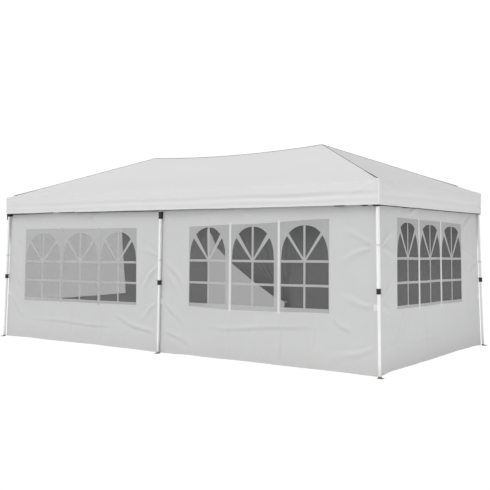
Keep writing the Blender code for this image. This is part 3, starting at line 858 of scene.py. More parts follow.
FRONT_LEFT_FOLDS = (
    (-2.98, 1.77, -2.62, 1.31, 0.009, 0.038, True),
    (-2.98, 1.20, -2.60, 0.75, 0.010, 0.040, True),
    (-2.23, 1.75, -2.00, 1.58, 0.006, 0.030, False),
    (-1.20, 1.78, -1.42, 1.66, 0.005, 0.030, False),
    (-0.02, 1.18, -0.40, 1.42, 0.007, 0.035, True),
    (-0.02, 1.13, -0.40, 0.80, 0.008, 0.038, True),
    (-0.02, 0.65, -0.38, 0.45, 0.007, 0.035, True),
    (-0.75, 0.46, -0.12, 0.26, 0.007, 0.030, False),
    (-2.97, 0.65, -2.60, 0.40, 0.008, 0.038, True),
    (-2.10, 0.60, -2.12, 0.08, 0.004, 0.022, False),
    (-1.66, 0.60, -1.64, 0.08, -0.004, 0.022, False),
    (-1.10, 0.60, -1.11, 0.08, 0.004, 0.022, False),
    (-2.30, 0.37, -1.00, 0.33, 0.005, 0.024, False),
)

RIGHT_END_FOLDS = (
    (-1.43, 1.37, -1.06, 1.50, 0.008, 0.032, True),
    (-1.43, 1.37, -1.05, 1.20, 0.008, 0.032, True),
    (-1.47, 0.80, -1.06, 0.95, 0.008, 0.032, True),
    (-1.47, 0.80, -1.10, 0.55, 0.007, 0.032, True),
    (-1.18, 0.20, -0.70, 0.66, 0.008, 0.034, False),
    (-1.38, 0.27, 0.16, 0.28, 0.006, 0.045, False),
    (1.45, 1.13, 0.98, 1.32, 0.008, 0.032, True),
    (1.45, 1.10, 0.98, 0.88, 0.007, 0.032, True),
    (1.28, 1.70, 0.68, 1.48, 0.006, 0.030, False),
    (0.90, 0.62, 1.36, 0.38, 0.007, 0.032, False),
    (-0.20, 0.58, -0.22, 0.08, 0.004, 0.022, False),
    (0.42, 0.58, 0.44, 0.08, 0.004, 0.022, False),
    (-0.40, 1.78, -0.72, 1.66, 0.005, 0.030, False),
)

LEFT_END_FOLDS = (
    (-1.45, 1.18, -1.05, 0.92, 0.008, 0.035, True),
    (-1.45, 0.66, -1.08, 0.46, 0.007, 0.035, True),
    (1.45, 1.18, 1.02, 1.42, 0.008, 0.035, True),
    (1.45, 0.68, 1.05, 0.50, 0.007, 0.035, True),
    (-0.80, 0.40, 0.62, 0.30, 0.005, 0.035, False),
    (0.15, 0.45, 0.13, 0.08, 0.004, 0.022, False),
)

BACK_RIGHT_FOLDS = (
    (0.04, 1.20, 0.55, 0.86, 0.010, 0.040, True),
    (0.04, 0.66, 0.60, 0.40, 0.009, 0.040, True),
    (2.97, 1.14, 2.45, 1.42, 0.009, 0.040, True),
    (2.97, 0.70, 2.40, 0.52, 0.009, 0.040, True),
    (0.70, 1.72, 1.20, 1.38, 0.006, 0.035, False),
    (1.85, 1.50, 1.92, 0.50, 0.005, 0.028, False),
    (2.30, 1.60, 2.28, 0.30, -0.005, 0.028, False),
    (0.78, 1.10, 0.80, 0.15, 0.005, 0.028, False),
    (1.60, 0.96, 2.80, 0.99, 0.004, 0.024, False),
)

# How far each window hangs out of true: (place along, metres).
LEVEL = ((-3.0, 0.0), (3.0, 0.0))
FRONT_LEFT_ASKEW = {
    "lift": ((-3.0, 0.0), (-2.66, -0.067), (-1.5, -0.060), (-0.40, -0.050), (-0.02, 0.0)),
    "head_lift": ((-3.0, 0.0), (-2.62, 0.018), (-0.44, -0.002), (-0.05, 0.0)),
    "foot_lift": ((-3.0, 0.0), (-2.62, -0.016), (-1.5, -0.004), (-0.05, 0.0)),
    "shift": ((-3.0, 0.0), (-2.64, -0.024), (-1.90, 0.034), (-1.15, 0.042), (-0.44, 0.010),
              (-0.05, 0.0)),
    "foot_shift": ((-3.0, 0.0), (-2.62, -0.010), (-0.44, 0.024), (-0.05, 0.0)),
}
FRONT_RIGHT_ASKEW = {
    "lift": ((0.02, 0.0), (0.46, -0.010), (1.44, -0.006), (2.42, 0.004), (2.98, 0.0)),
    "head_lift": ((0.02, 0.0), (0.46, -0.034), (1.20, -0.020), (2.42, 0.014), (2.98, 0.0)),
    "foot_lift": ((0.02, 0.0), (0.46, -0.010), (1.10, -0.026), (2.42, -0.008), (2.98, 0.0)),
    "shift": ((0.05, 0.0), (0.46, -0.006), (0.75, 0.004), (1.08, -0.024), (1.76, 0.0),
              (2.42, 0.006), (2.98, 0.0)),
    "foot_shift": ((0.05, 0.0), (0.46, 0.010), (2.42, 0.018), (2.98, 0.0)),
}
RIGHT_END_ASKEW = {
    "lift": ((-1.48, 0.0), (-1.02, 0.036), (0.0, 0.018), (0.91, 0.0)),
    "head_lift": LEVEL,
    "foot_lift": LEVEL,
    "shift": ((-1.48, 0.0), (-1.02, 0.013), (-0.45, -0.036), (0.20, -0.038), (0.91, 0.006),
              (1.48, 0.0)),
    "foot_shift": ((-1.48, 0.0), (-1.02, -0.055), (-0.45, -0.040), (0.91, -0.035), (1.48, 0.0)),
}
LEFT_END_ASKEW = {
    "lift": LEVEL,
    "head_lift": LEVEL,
    "foot_lift": LEVEL,
    "shift": ((0.45, 0.0), (0.93, -0.115), (1.45, 0.0)),
    "foot_shift": ((0.45, 0.0), (0.93, 0.130), (1.45, 0.0)),
}

BACK_LEFT_FOLDS = (
    (-2.97, 1.16, -2.40, 0.88, 0.010, 0.040, True),
    (-2.97, 0.66, -2.45, 0.42, 0.009, 0.040, True),
    (-2.97, 1.70, -2.50, 1.36, 0.008, 0.038, True),
    (-2.10, 1.62, -2.12, 0.20, 0.005, 0.028, False),
    (-1.60, 1.66, -1.05, 1.84, 0.006, 0.030, False),
    (-0.10, 1.72, -0.55, 1.80, 0.006, 0.030, False),
    (-2.90, 0.98, -1.75, 0.96, 0.004, 0.024, False),
)


def pane_edges(wall):
    """The left and right of the equal panes of a wall's window, between its strips."""
    strip = 0.026
    low, high = wall.window
    pane = (high - low - (wall.panes - 1) * strip) / wall.panes
    edges = [low + i * (pane + strip) for i in range(wall.panes)]
    return [(edge, edge + pane) for edge in edges]


def window_of(film_node, along_x):
    """The window that a film covers. The film is 20 mm larger all round."""
    low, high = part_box(film_node)
    margin = 0.020
    along = (low.x, high.x) if along_x else (low.y, high.y)
    return (along[0] + margin, along[1] - margin), (low.z + margin, high.z - margin)


def notched(along, z, wall):
    """Whether a cell lies in a notch around a slider."""
    away = wall.leg_distance(along)
    middle = wall.along_x and abs(along) < 0.5
    if middle:
        return away < 0.021 and z > MIDDLE_NOTCH_Z
    return away < 0.0538 and z > CORNER_NOTCH_Z


def wall_stops(wall, low, high):
    stops = [low, high]
    for leg in (-wall.edge, 0.0, wall.edge):
        reach = 0.021 if leg == 0.0 else 0.0538
        if leg == 0.0 and not wall.along_x:
            continue
        stops += [s for s in (leg - reach, leg + reach) if low < s < high]
    return stops


def ribbon(bm, wall, path, width, lift, layer, flat_from=0.0):
    """A closed tape along a path of (along, z) on a wall, with its flat place mapped."""
    rings = []
    gone = flat_from
    for index, spot in enumerate(path):
        before = path[max(index - 1, 0)]
        after = path[min(index + 1, len(path) - 1)]
        run = Vector((after[0] - before[0], after[1] - before[1], 0))
        run.normalize()
        if index:
            gone += math.dist(spot, path[index - 1])
        ring = []
        edge = 0.0006
        for side, out in ((-1, 0.0), (-1, lift), (1, lift), (1, 0.0)):
            across = side * (width / 2 - (edge if out else 0.0))
            point = wall.place(spot[0] - run.y * across, spot[1] + run.x * across, out + 0.0005)
            ring.append((bm.verts.new(point), (gone, across)))
        rings.append(ring)
    faces = []
    for first, second in zip(rings, rings[1:]):
        for i in range(4):
            j = (i + 1) % 4
            faces.append((first[i], first[j], second[j], second[i]))
    faces.append(tuple(reversed(rings[0])))
    faces.append(tuple(rings[-1]))
    for corners in faces:
        face = bm.faces.new([corner[0] for corner in corners])
        for loop, corner in zip(face.loops, corners):
            loop[layer].uv = corner[1]


def tape_object(name, wall, paths, width, lift, look):
    """Tapes along several paths, as one piece."""
    bm = bmesh.new()
    layer = bm.loops.layers.uv.new("cloth")
    for index, path in enumerate(paths):
        ribbon(bm, wall, path, width, lift + 0.0002 * (index % 2), layer)
    bmesh.ops.recalc_face_normals(bm, faces=bm.faces)
    piece = object_from(name, bm)
    smooth(piece, 30)
    return dress(piece, look)


def straight(start, end, step=0.025):
    length = math.dist(start, end)
    steps = max(1, round(length / step))
    return [
        (start[0] + (end[0] - start[0]) * i / steps, start[1] + (end[1] - start[1]) * i / steps)
        for i in range(steps + 1)
    ]


def make_wall(node, wall, low, high, extra=(), z_low=None, hem=True):
    """A wall's cloth, with its panes cut out and its hem turned up."""
    cell = sizes().wall_cell
    panes = pane_edges(wall) if wall.window else []
    columns = divided(wall_stops(wall, low, high) + [x for pane in panes for x in pane], cell)
    foot = z_low or WALL_FOOT_Z
    stops = [foot, MIDDLE_NOTCH_Z, CORNER_NOTCH_Z, WALL_TOP_Z]
    if wall.heights:
        stops += list(wall.heights)
    rows = divided(stops, cell)

    def wanted(along, z):
        if notched(along, z, wall):
            return False
        if wall.heights and wall.heights[0] < z < wall.heights[1]:
            return not any(left < along < right for left, right in panes)
        return True

    piece = cloth_grid(f"{node}_cloth", columns, rows, wall.place, wanted)
    face_outwards(piece, wall.away)
    thicken(piece, sizes().cloth)
    dress(piece, wall_cloth())
    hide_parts(node)
    pieces = list(extra)
    if hem:
        path = straight((low + 0.002, foot + 0.0145), (high - 0.002, foot + 0.0145))
        look = wall_cloth()
        pieces.append(
            tape_object(f"{node}_hem", wall, [path], 0.027, 0.0009, look))
    # The cut comes from the wall's span and height with an allowance for hems, less its panes.
    wide = high - low + 0.06
    tall = WALL_TOP_Z - foot + 0.03
    cut = wide * tall
    if panes:
        cut -= sum(right - left for left, right in panes) * (wall.heights[1] - wall.heights[0])
    return piece


# Windows.


def arch_hole(centre, left, right, foot, top, side, inner, ends, slant):
    """One clear sector of the arch, as an outline. side is -1 for left and 1 for right.

    The inner sectors lie between the middle bar and a sloping bar, and the outer ones
    between the sloping bar and the foot of the arch.
    """
    half_bar = sizes().muntin / 2
    slope = math.radians(slant)
    reach = (right - left) / 2
    run = Vector((side * math.cos(slope), math.sin(slope)))
    normal = Vector((-run.y, run.x)) * side
    bar = half_bar * 0.85

    def arch(share):
        """The arch's outline at a share of its half width."""
        power = (2.8 if inner else 2.1) if ends else 2.2
        return foot + (top - foot) * max(0.0, 1 - share**power) ** (1 / power)

    def sloping(distance, out):
        spot = Vector((centre, foot - half_bar)) + run * distance
        return spot + normal * out

    points = []
    steps = 26
    if inner:
        # From the middle bar out to the sloping bar, along the arch, then down the bar.
        start = centre + side * half_bar
        for i in range(steps + 1):
            share = half_bar / reach + (1 - half_bar / reach) * i / steps
            spot = Vector((centre + side * share * reach, arch(share)))
            below = (spot - Vector((centre, foot - half_bar))).dot(normal)
            if below < bar:
                break
            points.append(spot)
        low = 0.0
        while (sloping(low, bar).x - start) * side < 0:
            low += 0.002
        points.append(sloping(low, bar))
        points.append(Vector((start, sloping(low, bar).y)))
        return points
    for i in range(steps + 1):
        share = 1 - (1 - half_bar / reach) * i / steps
        spot = Vector((centre + side * share * reach, arch(share) - (0.0 if ends else 0.004)))
        below = (spot - Vector((centre, foot - half_bar))).dot(normal)
        if below > -bar:
            break
        points.append(spot)
    low = 0.0
    while sloping(low, -bar).y < foot:
        low += 0.002
    points.append(sloping(low, -bar))
    points.append(Vector((centre + side * reach, foot)))
    return points


def pane_holes(left, right, heights, ends, centre, slant):
    """The clear places of one pane: four squares and four sectors of the arch."""
    half_bar = sizes().muntin / 2
    low = heights[0] + 0.038
    lower = sizes().lower_bar_z
    upper = sizes().upper_bar_z
    reach = min(centre - left, right - centre) - 0.012
    inside = (centre - reach, centre + reach)
    holes = []
    for side in (-1, 1):
        edge = inside[0] if side < 0 else inside[1]
        near = centre + side * half_bar
        for z_low, z_high in ((low, lower - half_bar), (lower + half_bar, upper - half_bar)):
            holes.append([(near, z_low), (edge, z_low), (edge, z_high), (near, z_high)])
        for inner in (True, False):
            foot = upper + half_bar
            spots = arch_hole(
                centre, *inside, foot, heights[1] - 0.052, side, inner, ends, slant)
            holes.append([tuple(spot) for spot in spots])
    return holes


def flat_shape(name, outline, holes):
    """A flat plate with holes, from a filled curve, as a mesh in x and y."""
    curve = bpy.data.curves.new(name, "CURVE")
    curve.dimensions = "2D"
    curve.fill_mode = "BOTH"
    for points in [outline] + holes:
        spline = curve.splines.new("POLY")
        spline.points.add(len(points) - 1)
        for point, place in zip(spline.points, points):
            point.co = (place[0], place[1], 0, 1)
        spline.use_cyclic_u = True
    carrier = bpy.data.objects.new(name, curve)
    bpy.context.collection.objects.link(carrier)
    take(carrier)
    bpy.ops.object.convert(target="MESH")
    return bpy.context.view_layer.objects.active


def lay_on_wall(piece, wall, out, cell=0.045):
    """Cuts a flat plate into small cells and lays it on a wall."""
    bm = bmesh.new()
    bm.from_mesh(piece.data)
    bmesh.ops.remove_doubles(bm, verts=bm.verts, dist=0.00001)
    low = [min(v.co[axis] for v in bm.verts) for axis in (0, 1)]
    high = [max(v.co[axis] for v in bm.verts) for axis in (0, 1)]
    for axis in (0, 1):
        normal = Vector((1, 0, 0)) if axis == 0 else Vector((0, 1, 0))
        for i in range(1, math.ceil((high[axis] - low[axis]) / cell)):
            cut = normal * (low[axis] + i * cell)
            geometry = bm.verts[:] + bm.edges[:] + bm.faces[:]
            bmesh.ops.bisect_plane(bm, geom=geometry, plane_co=cut, plane_no=normal, dist=1e-6)
    flat = {vert: (vert.co.x, vert.co.y) for vert in bm.verts}
    set_cloth_map(bm, flat)
    for vert in bm.verts:
        vert.co = wall.place(*flat[vert], out)
    bm.to_mesh(piece.data)
    bm.free()
    face_outwards(piece, wall.away)


def make_window(node, wall, alpha, ink, ends, shifts=(0.0, 0.0, 0.0), strip_look=None,
                slant=55):
    """The clear film of a window, the print on it and the tapes that hold it."""
    low, high = wall.window
    z_low, z_high = wall.heights
    margin = 0.020
    columns = divided((low - margin, high + margin), 0.030)
    rows = divided((z_low - margin, z_high + margin), 0.030)
    film = cloth_grid(f"{node}_film", columns, rows, lambda a, z: wall.place(a, z, -0.0016))
    face_outwards(film, wall.away)
    thicken(film, 0.0005)
    dress(film, window_film(alpha))
    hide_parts(f"{node}_window_film")
    pieces = [film]
    for index, (left, right) in enumerate(pane_edges(wall) if ink else []):
        outline = [
            (left - 0.008, z_low - 0.008),
            (right + 0.008, z_low - 0.008),
            (right + 0.008, z_high + 0.008),
            (left - 0.008, z_high + 0.008),
        ]
        centre = (left + right) / 2 + shifts[index]
        holes = pane_holes(left, right, (z_low, z_high), ends, centre, slant)
        ink_piece = flat_shape(f"{node}_print_{index + 1}", outline, holes)
        lay_on_wall(ink_piece, wall, -0.0009)
        smooth(ink_piece)
        dress(ink_piece, print_ink(ink))
        pieces.append(ink_piece)
    tape = sizes().tape
    out = tape / 2 - 0.004
    borders = [
        straight((low - out, z_low - tape + 0.004), (low - out, z_high + tape - 0.004)),
        straight((low - tape + 0.004, z_high + out), (high + tape - 0.004, z_high + out)),
        straight((high + out, z_low - tape + 0.004), (high + out, z_high + tape - 0.004)),
        straight((low - tape + 0.004, z_low - out), (high + tape - 0.004, z_low - out)),
    ]
    look = wall_cloth()
    name = f"{node}_window_border"
    pieces.append(tape_object(name, wall, borders, tape, 0.0009, look))
    panes = pane_edges(wall)
    strips = []
    for first, second in zip(panes, panes[1:]):
        middle = (first[1] + second[0]) / 2
        strips.append(straight((middle, z_low - 0.016), (middle, z_high + 0.016)))
    if strips:
        name = f"{node}_window_strips"
        look = strip_look or seam_tape()
        pieces.append(tape_object(name, wall, strips, 0.030, 0.0014, look))
    return pieces


# Canopy.


# Height of a fold line across the valance, and how far it stands out.
VALANCE_BANDS = (
    (2.048, 0.0),
    (1.992, 0.003),
    (1.936, 0.0055),
    (1.899, -0.0025),
    (1.848, 0.0050),
    (1.819, 0.0012),
    (1.784, 0.0040),
)

# Where the dark tape shows below the front hem, from the left corner, and how far. Its dark line is
# partly real tape and partly painted shadow under the hem.
FRONT_TAPE = (
    (0.00, 0.009), (0.35, 0.009), (0.60, 0.006), (1.02, 0.006), (1.05, 0.0), (1.13, 0.0),
    (1.16, 0.006), (3.00, 0.007), (3.10, 0.004), (4.20, 0.003), (4.25, 0.001), (5.52, 0.001),
    (5.56, 0.007), (5.66, 0.007), (5.69, 0.0), (5.86, 0.001), (5.88, 0.008), (5.94, 0.008),
    (5.96, 0.0), (5.99, 0.0), (6.00, 0.009), (6.07, 0.011),
)

# How much higher the hem hangs at places round the eave, from the front left corner.
HEM_LIFT = (
    (0.0, 0.024), (1.5, 0.018), (3.03, 0.012), (4.50, 0.004), (6.07, 0.0), (7.60, -0.003),
    (9.14, -0.016), (12.0, 0.0), (15.2, 0.0), (16.9, 0.012), (18.3, 0.024),
)

# Folds across the end valance: along, z, along, z, height, width, pulled.
END_VALANCE_FOLDS = (
    (-1.53, 2.03, -1.20, 1.83, 0.006, 0.020, True),
    (-1.53, 2.03, -0.98, 1.92, 0.005, 0.020, True),
    (-1.53, 1.96, -1.34, 1.80, 0.005, 0.016, True),
    (1.53, 2.02, 1.22, 1.86, 0.005, 0.018, True),
    (1.46, 2.02, 1.45, 1.80, 0.005, 0.014, False),
    (1.38, 1.98, 1.37, 1.80, 0.004, 0.014, False),
)

SIDE_VALANCE_FOLDS = (
    (-3.03, 2.03, -2.62, 1.86, 0.005, 0.020, True),
    (3.03, 2.03, 2.55, 1.88, 0.005, 0.020, True),
    (2.99, 2.03, 2.96, 1.80, 0.004, 0.012, False),
    (-0.02, 2.03, -0.40, 1.86, 0.004, 0.020, True),
    (0.02, 2.03, 0.42, 1.88, 0.004, 0.020, True),
)


def between(table, value):
    """Reads a table of (place, amount) that is in order, with straight lines between."""
    if table[0][0] > table[-1][0]:
        table = tuple(reversed(table))
    if value <= table[0][0]:
        return table[0][1]
    for (low, first), (high, second) in zip(table, table[1:]):
        if value <= high:
            return first + (second - first) * ease((value - low) / (high - low))
    return table[-1][1]


class Canopy:
    """The roof. A place round the eave is metres from the front left corner."""

    def __init__(self):
        self.long_side = 2 * EAVE_X
        self.short_side = 2 * EAVE_Y
        self.around = 2 * (self.long_side + self.short_side)

    def side(self, round_eave):
        """(which side, place along it from its middle, half its length)."""
        left = round_eave % self.around
        for index in range(4):
            length = self.long_side if index % 2 == 0 else self.short_side
            if left <= length or index == 3:
                return index, left - length / 2, length / 2
            left -= length
        raise ValueError("no side")

    def eave(self, round_eave):
        """(x, y, outward x, outward y) of a place at the eave."""
        index, along, half = self.side(round_eave)
        turn = ((1, 0, 0, -1), (0, 1, 1, 0), (-1, 0, 0, 1), (0, -1, -1, 0))[index]
        deep = EAVE_Y if index % 2 == 0 else EAVE_X
        x = turn[0] * along + turn[2] * deep
        y = turn[1] * along + turn[3] * deep
        out_x, out_y = turn[2], turn[3]
        corner = ease((abs(along) - (half - 0.008)) / 0.008) * 0.5
        if corner > 0:
            sign = math.copysign(1, along)
            out_x += corner * 2 * turn[0] * sign
            out_y += corner * 2 * turn[1] * sign
        return x, y, out_x, out_y

    def valance_relief(self, round_eave, z):
        index, along, half = self.side(round_eave)
        eave_z = sizes().eave_z
        drop = (eave_z - z) / (eave_z - VALANCE_Z)
        shift = 0.010 * ripple(round_eave * 1.3, 0.0, 4.0)
        strength = 0.60 + 0.8 * ripple(round_eave * 0.9, 2.0, 8.0)
        if index == 0:
            strength += 0.8 * ease((along + 0.4) / 2.0)
        total = between(VALANCE_BANDS, z + shift * min(1.0, drop * 4)) * strength
        total += drop * 0.008 * ripple(round_eave * 1.9, z * 1.5, 15.0)
        total += drop * 0.0035 * ripple(round_eave * 7.0, z * 3.0, 19.0)
        mirrored = along if index < 2 else -along
        folds = END_VALANCE_FOLDS if index % 2 else SIDE_VALANCE_FOLDS
        total += sum(fold_height(fold, mirrored, z) for fold in folds) * min(1.0, drop * 5)
        calm = ease((half - abs(along)) / 0.06)
        total *= 0.20 + 0.80 * calm
        return min(max(total, -0.0055), 0.013)

    def place(self, round_eave, z, out=0.0):
        """A point on the valance."""
        x, y, out_x, out_y = self.eave(round_eave)
        reach = self.valance_relief(round_eave, z) + out - sizes().cloth / 2
        wave = 0.0035 * ripple(round_eave * 2.6, 7.0, 2.0)
        drop = (sizes().eave_z - z) / (sizes().eave_z - VALANCE_Z)
        lift = straight_between(HEM_LIFT, round_eave % self.around) * drop
        lift += (wave + 0.0035) * drop * drop
        return Vector((x + out_x * reach, y + out_y * reach, z + lift))

    def slope(self, round_eave, share, up=0.0):
        """A point on the slope, from 0 at the eave to 1 at the ridge."""
        index, along, half = self.side(round_eave)
        x, y, _, _ = self.eave(round_eave)
        top_x = x * PEAK_X / EAVE_X if index % 2 == 0 else math.copysign(PEAK_X, x)
        top_z = PEAK_Z - sizes().ridge_sag * (1 - (top_x / PEAK_X) ** 2)
        away = 1 - (abs(along) / half) ** (4 if index % 2 == 0 else 2)
        bow = math.sin(math.pi * share) ** 2
        sag = sizes().slope_sag * bow * away * (1.0 if index % 2 == 0 else 0.6)
        z = sizes().eave_z + (top_z - sizes().eave_z) * share - sag
        place_x = x + (top_x - x) * share
        place_y = y * (1 - share)
        wrinkle = 0.009 * ripple(place_x * 1.1, place_y * 1.6, 31.0)
        wrinkle += 0.0035 * ripple(place_x * 4.0, place_y * 4.0, 37.0)
        # Tension folds run up from the corners, side by side with the hips.
        corner = half - abs(along)
        pull = bell(corner - 0.30 - 0.10 * share, 0.16) - 0.6 * bell(corner - 0.62, 0.20)
        if index % 2 == 0:
            pull += 0.8 * bell(along, 0.16)
        wrinkle += 0.006 * pull * (1 - share)
        z += (wrinkle - 0.0015) * bow * min(1.0, away * 2) + up - sizes().cloth / 2
        return Vector((place_x, place_y, z))


def round_eave_places(canopy, cell):
    """Where the canopy's columns are, with close ones beside each corner."""
    stops = [0.0]
    for length in (canopy.long_side, canopy.short_side) * 2:
        stops.append(stops[-1] + length)
    close = [s + shift for s in stops[1:-1] for shift in (-0.006, 0.006)]
    close += [0.006, stops[-1] - 0.006]
    return divided(stops + close, cell)


def make_canopy():
    canopy = Canopy()
    columns = round_eave_places(canopy, sizes().canopy_cell)
    valance = divided((VALANCE_Z, sizes().eave_z - 0.005, sizes().eave_z), 0.0135)
    shares = [0.0, 0.006] + [0.006 + 0.994 * i / 30 for i in range(1, 31)]
    bm = bmesh.new()
    flat = {}
    rings = []
    for round_eave in columns[:-1]:
        ring = []
        for z in valance:
            vert = bm.verts.new(canopy.place(round_eave, z))
            flat[vert] = (round_eave, z - sizes().eave_z)
            ring.append(vert)
        for share in shares[1:]:
            vert = bm.verts.new(canopy.slope(round_eave, share))
            flat[vert] = (round_eave, share * 1.65)
            ring.append(vert)
        rings.append(ring)
    for first, second in zip(rings, rings[1:] + rings[:1]):
        for low in range(len(first) - 1):
            bm.faces.new((first[low], second[low], second[low + 1], first[low + 1]))
    set_cloth_map(bm, flat)
    bmesh.ops.remove_doubles(bm, verts=bm.verts, dist=0.0001)
    bmesh.ops.dissolve_degenerate(bm, edges=bm.edges, dist=0.00001)
    piece = object_from("canopy_cloth", bm)
    face_outwards(piece, lambda centre: Vector((centre.x * 0.2, centre.y, 1.0)))
    thicken(piece, sizes().cloth)
    dress(piece, roof_cloth())
    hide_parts("canopy_front", "canopy_back", "canopy_left_end", "canopy_right_end")
    trims = canopy_trims(canopy)
    rests = [f"{where}_bracket" for where in LEG_PLACES]
    rests += ["left_peak_pole", "right_peak_pole"]


def canopy_trims(canopy):
    """The hem; the dark tape under it, whose line also paints the shadow under the hem; and the
    dark piping on the hips and the ridge, which also paints the shade under their seams.
    """
    around = divided((0.0, canopy.around), 0.030)
    hem = [(s, VALANCE_Z + 0.0115) for s in around]
    trims = [
        tape_object("canopy_hem", canopy, [hem], 0.021, 0.0008, roof_cloth())]
    # The tape shows below the hem by these amounts, scaled up, so that its dark line also paints
    # the shadow under the hem.
    path = []
    for s in divided((0.0, canopy.around), 0.020):
        index, along, half = canopy.side(s)
        if index == 0:
            show = 1.9 * between(FRONT_TAPE, s)
        elif index == 2:
            show = 1.5 * between(FRONT_TAPE, along + half)
        else:
            show = 0.0115 + 0.004 * ripple(s * 5.0, 3.0, 6.0)
        path.append((s, VALANCE_Z + 0.0125 - show))
    tape = [(s, z) for s, z in path]
    bm = bmesh.new()
    layer = bm.loops.layers.uv.new("cloth")
    ribbon(bm, InnerSide(canopy), tape, 0.020, 0.0012, layer)
    bmesh.ops.recalc_face_normals(bm, faces=bm.faces)
    dark = object_from("valance_tape_and_shadow", bm)
    smooth(dark, 30)
    trims.append(dress(dark, hem_tape_and_shadow()))
    trims.append(make_piping(canopy))
    trims.append(make_corner_piping(canopy))
    return trims


class InnerSide:
    """The inner side of the valance, for a tape that is sewn there."""

    def __init__(self, canopy):
        self.canopy = canopy

    def place(self, round_eave, z, out=0.0):
        lowest = max(z, VALANCE_Z)
        point = self.canopy.place(round_eave, lowest, -0.0012 - out)
        point.z += z - lowest
        return point


def round_tube(bm, points, radii, layer, sides=8):
    """A closed round tube through points, with flat ends."""
    rings = []
    gone = 0.0
    for index, (point, radius) in enumerate(zip(points, radii)):
        before = points[max(index - 1, 0)]
        after = points[min(index + 1, len(points) - 1)]
        run = (after - before).normalized()
        side = run.cross(Vector((0, 0, 1)) if abs(run.z) < 0.9 else Vector((1, 1, 0)))
        side.normalize()
        top = side.cross(run)
        if index:
            gone += (point - points[index - 1]).length
        ring = []
        for i in range(sides):
            turn = 2 * math.pi * i / sides
            spot = point + (side * math.cos(turn) + top * math.sin(turn)) * radius
            ring.append((bm.verts.new(spot), (gone, turn * radius)))
        rings.append(ring)
    faces = [tuple(reversed(rings[0])), tuple(rings[-1])]
    for first, second in zip(rings, rings[1:]):
        for i in range(sides):
            j = (i + 1) % sides
            faces.append((first[i], first[j], second[j], second[i]))
    for corners in faces:
        face = bm.faces.new([corner[0] for corner in corners])
        for loop, corner in zip(face.loops, corners):
            loop[layer].uv = corner[1]


def make_piping(canopy):
    # Dark piping on the hips and the ridge: partly real piping, and partly painted shade under the
    # seam flaps.
    bm = bmesh.new()
    layer = bm.loops.layers.uv.new("cloth")
    corners = [0.0, canopy.long_side, canopy.long_side + canopy.short_side,
               2 * canopy.long_side + canopy.short_side]
    for corner, first in zip(corners, (3, 2, 9, 5)):
        points = [canopy.slope(corner + 0.0001, i / 60, up=0.0012) for i in range(first, 61)]
        # The hook and the thicker tube at the eave end paint the darker shadow where each hip seam
        # ends.
        hook = canopy.slope(corner + 0.030, (first + 0.5) / 60, up=0.0015)
        points.insert(0, hook)
        radii = [0.0026 + 0.0042 * ease(1 - i / 16) for i in range(len(points))]
        round_tube(bm, points, radii, layer)
    ridge = []
    for i in range(81):
        x = -PEAK_X + 2 * PEAK_X * i / 80
        ridge.append(canopy.slope(EAVE_X + x * EAVE_X / PEAK_X, 1.0, up=0.0012))
    radii = [0.0026 + 0.0008 * ripple(i * 0.21, 0.0, 3.0) for i in range(len(ridge))]
    round_tube(bm, ridge, radii, layer)
    bmesh.ops.recalc_face_normals(bm, faces=bm.faces)
    piping = object_from("roof_seam_piping", bm)
    smooth(piping, 50)
    return dress(piping, seam_shadow_piping())


def make_corner_piping(canopy):
    """White piping down the four corners of the valance, in a brighter colour that paints the
    highlight along each corner.
    """
    bm = bmesh.new()
    layer = bm.loops.layers.uv.new("cloth")
    for corner in (0.0, canopy.long_side, canopy.long_side + canopy.short_side,
                   2 * canopy.long_side + canopy.short_side):
        heights = divided((VALANCE_Z + 0.002, sizes().eave_z - 0.002), 0.022)
        points = [canopy.place(corner + 0.0001, z, 0.0008) for z in heights]
        points.append(canopy.slope(corner + 0.0001, 0.012, up=0.0012))
        points.append(canopy.slope(corner + 0.0001, 0.030, up=0.0006))
        radii = [0.0046] * len(points)
        radii[0] = radii[-1] = 0.0025
        round_tube(bm, points, radii, layer)
    bmesh.ops.recalc_face_normals(bm, faces=bm.faces)
    piping = object_from("valance_corner_highlight_piping", bm)
    smooth(piping, 50)
    return dress(piping, painted_highlight_piping())


# The back left door.


def swept_edge():
    """The free edge of the swept door half, from its top corner down to the hem."""
    low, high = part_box("back_left_wall_swept_half")
    return (
        (low.x, sizes().door_head_z - 0.0003), (-1.570, 1.540), (-1.440, 1.300),
        (-1.127, 1.038), (-0.761, 0.802), (-0.272, 0.520), (-0.075, 0.450),
        (-0.085, 0.350), (-0.100, 0.180), (-0.112, low.z),
    )


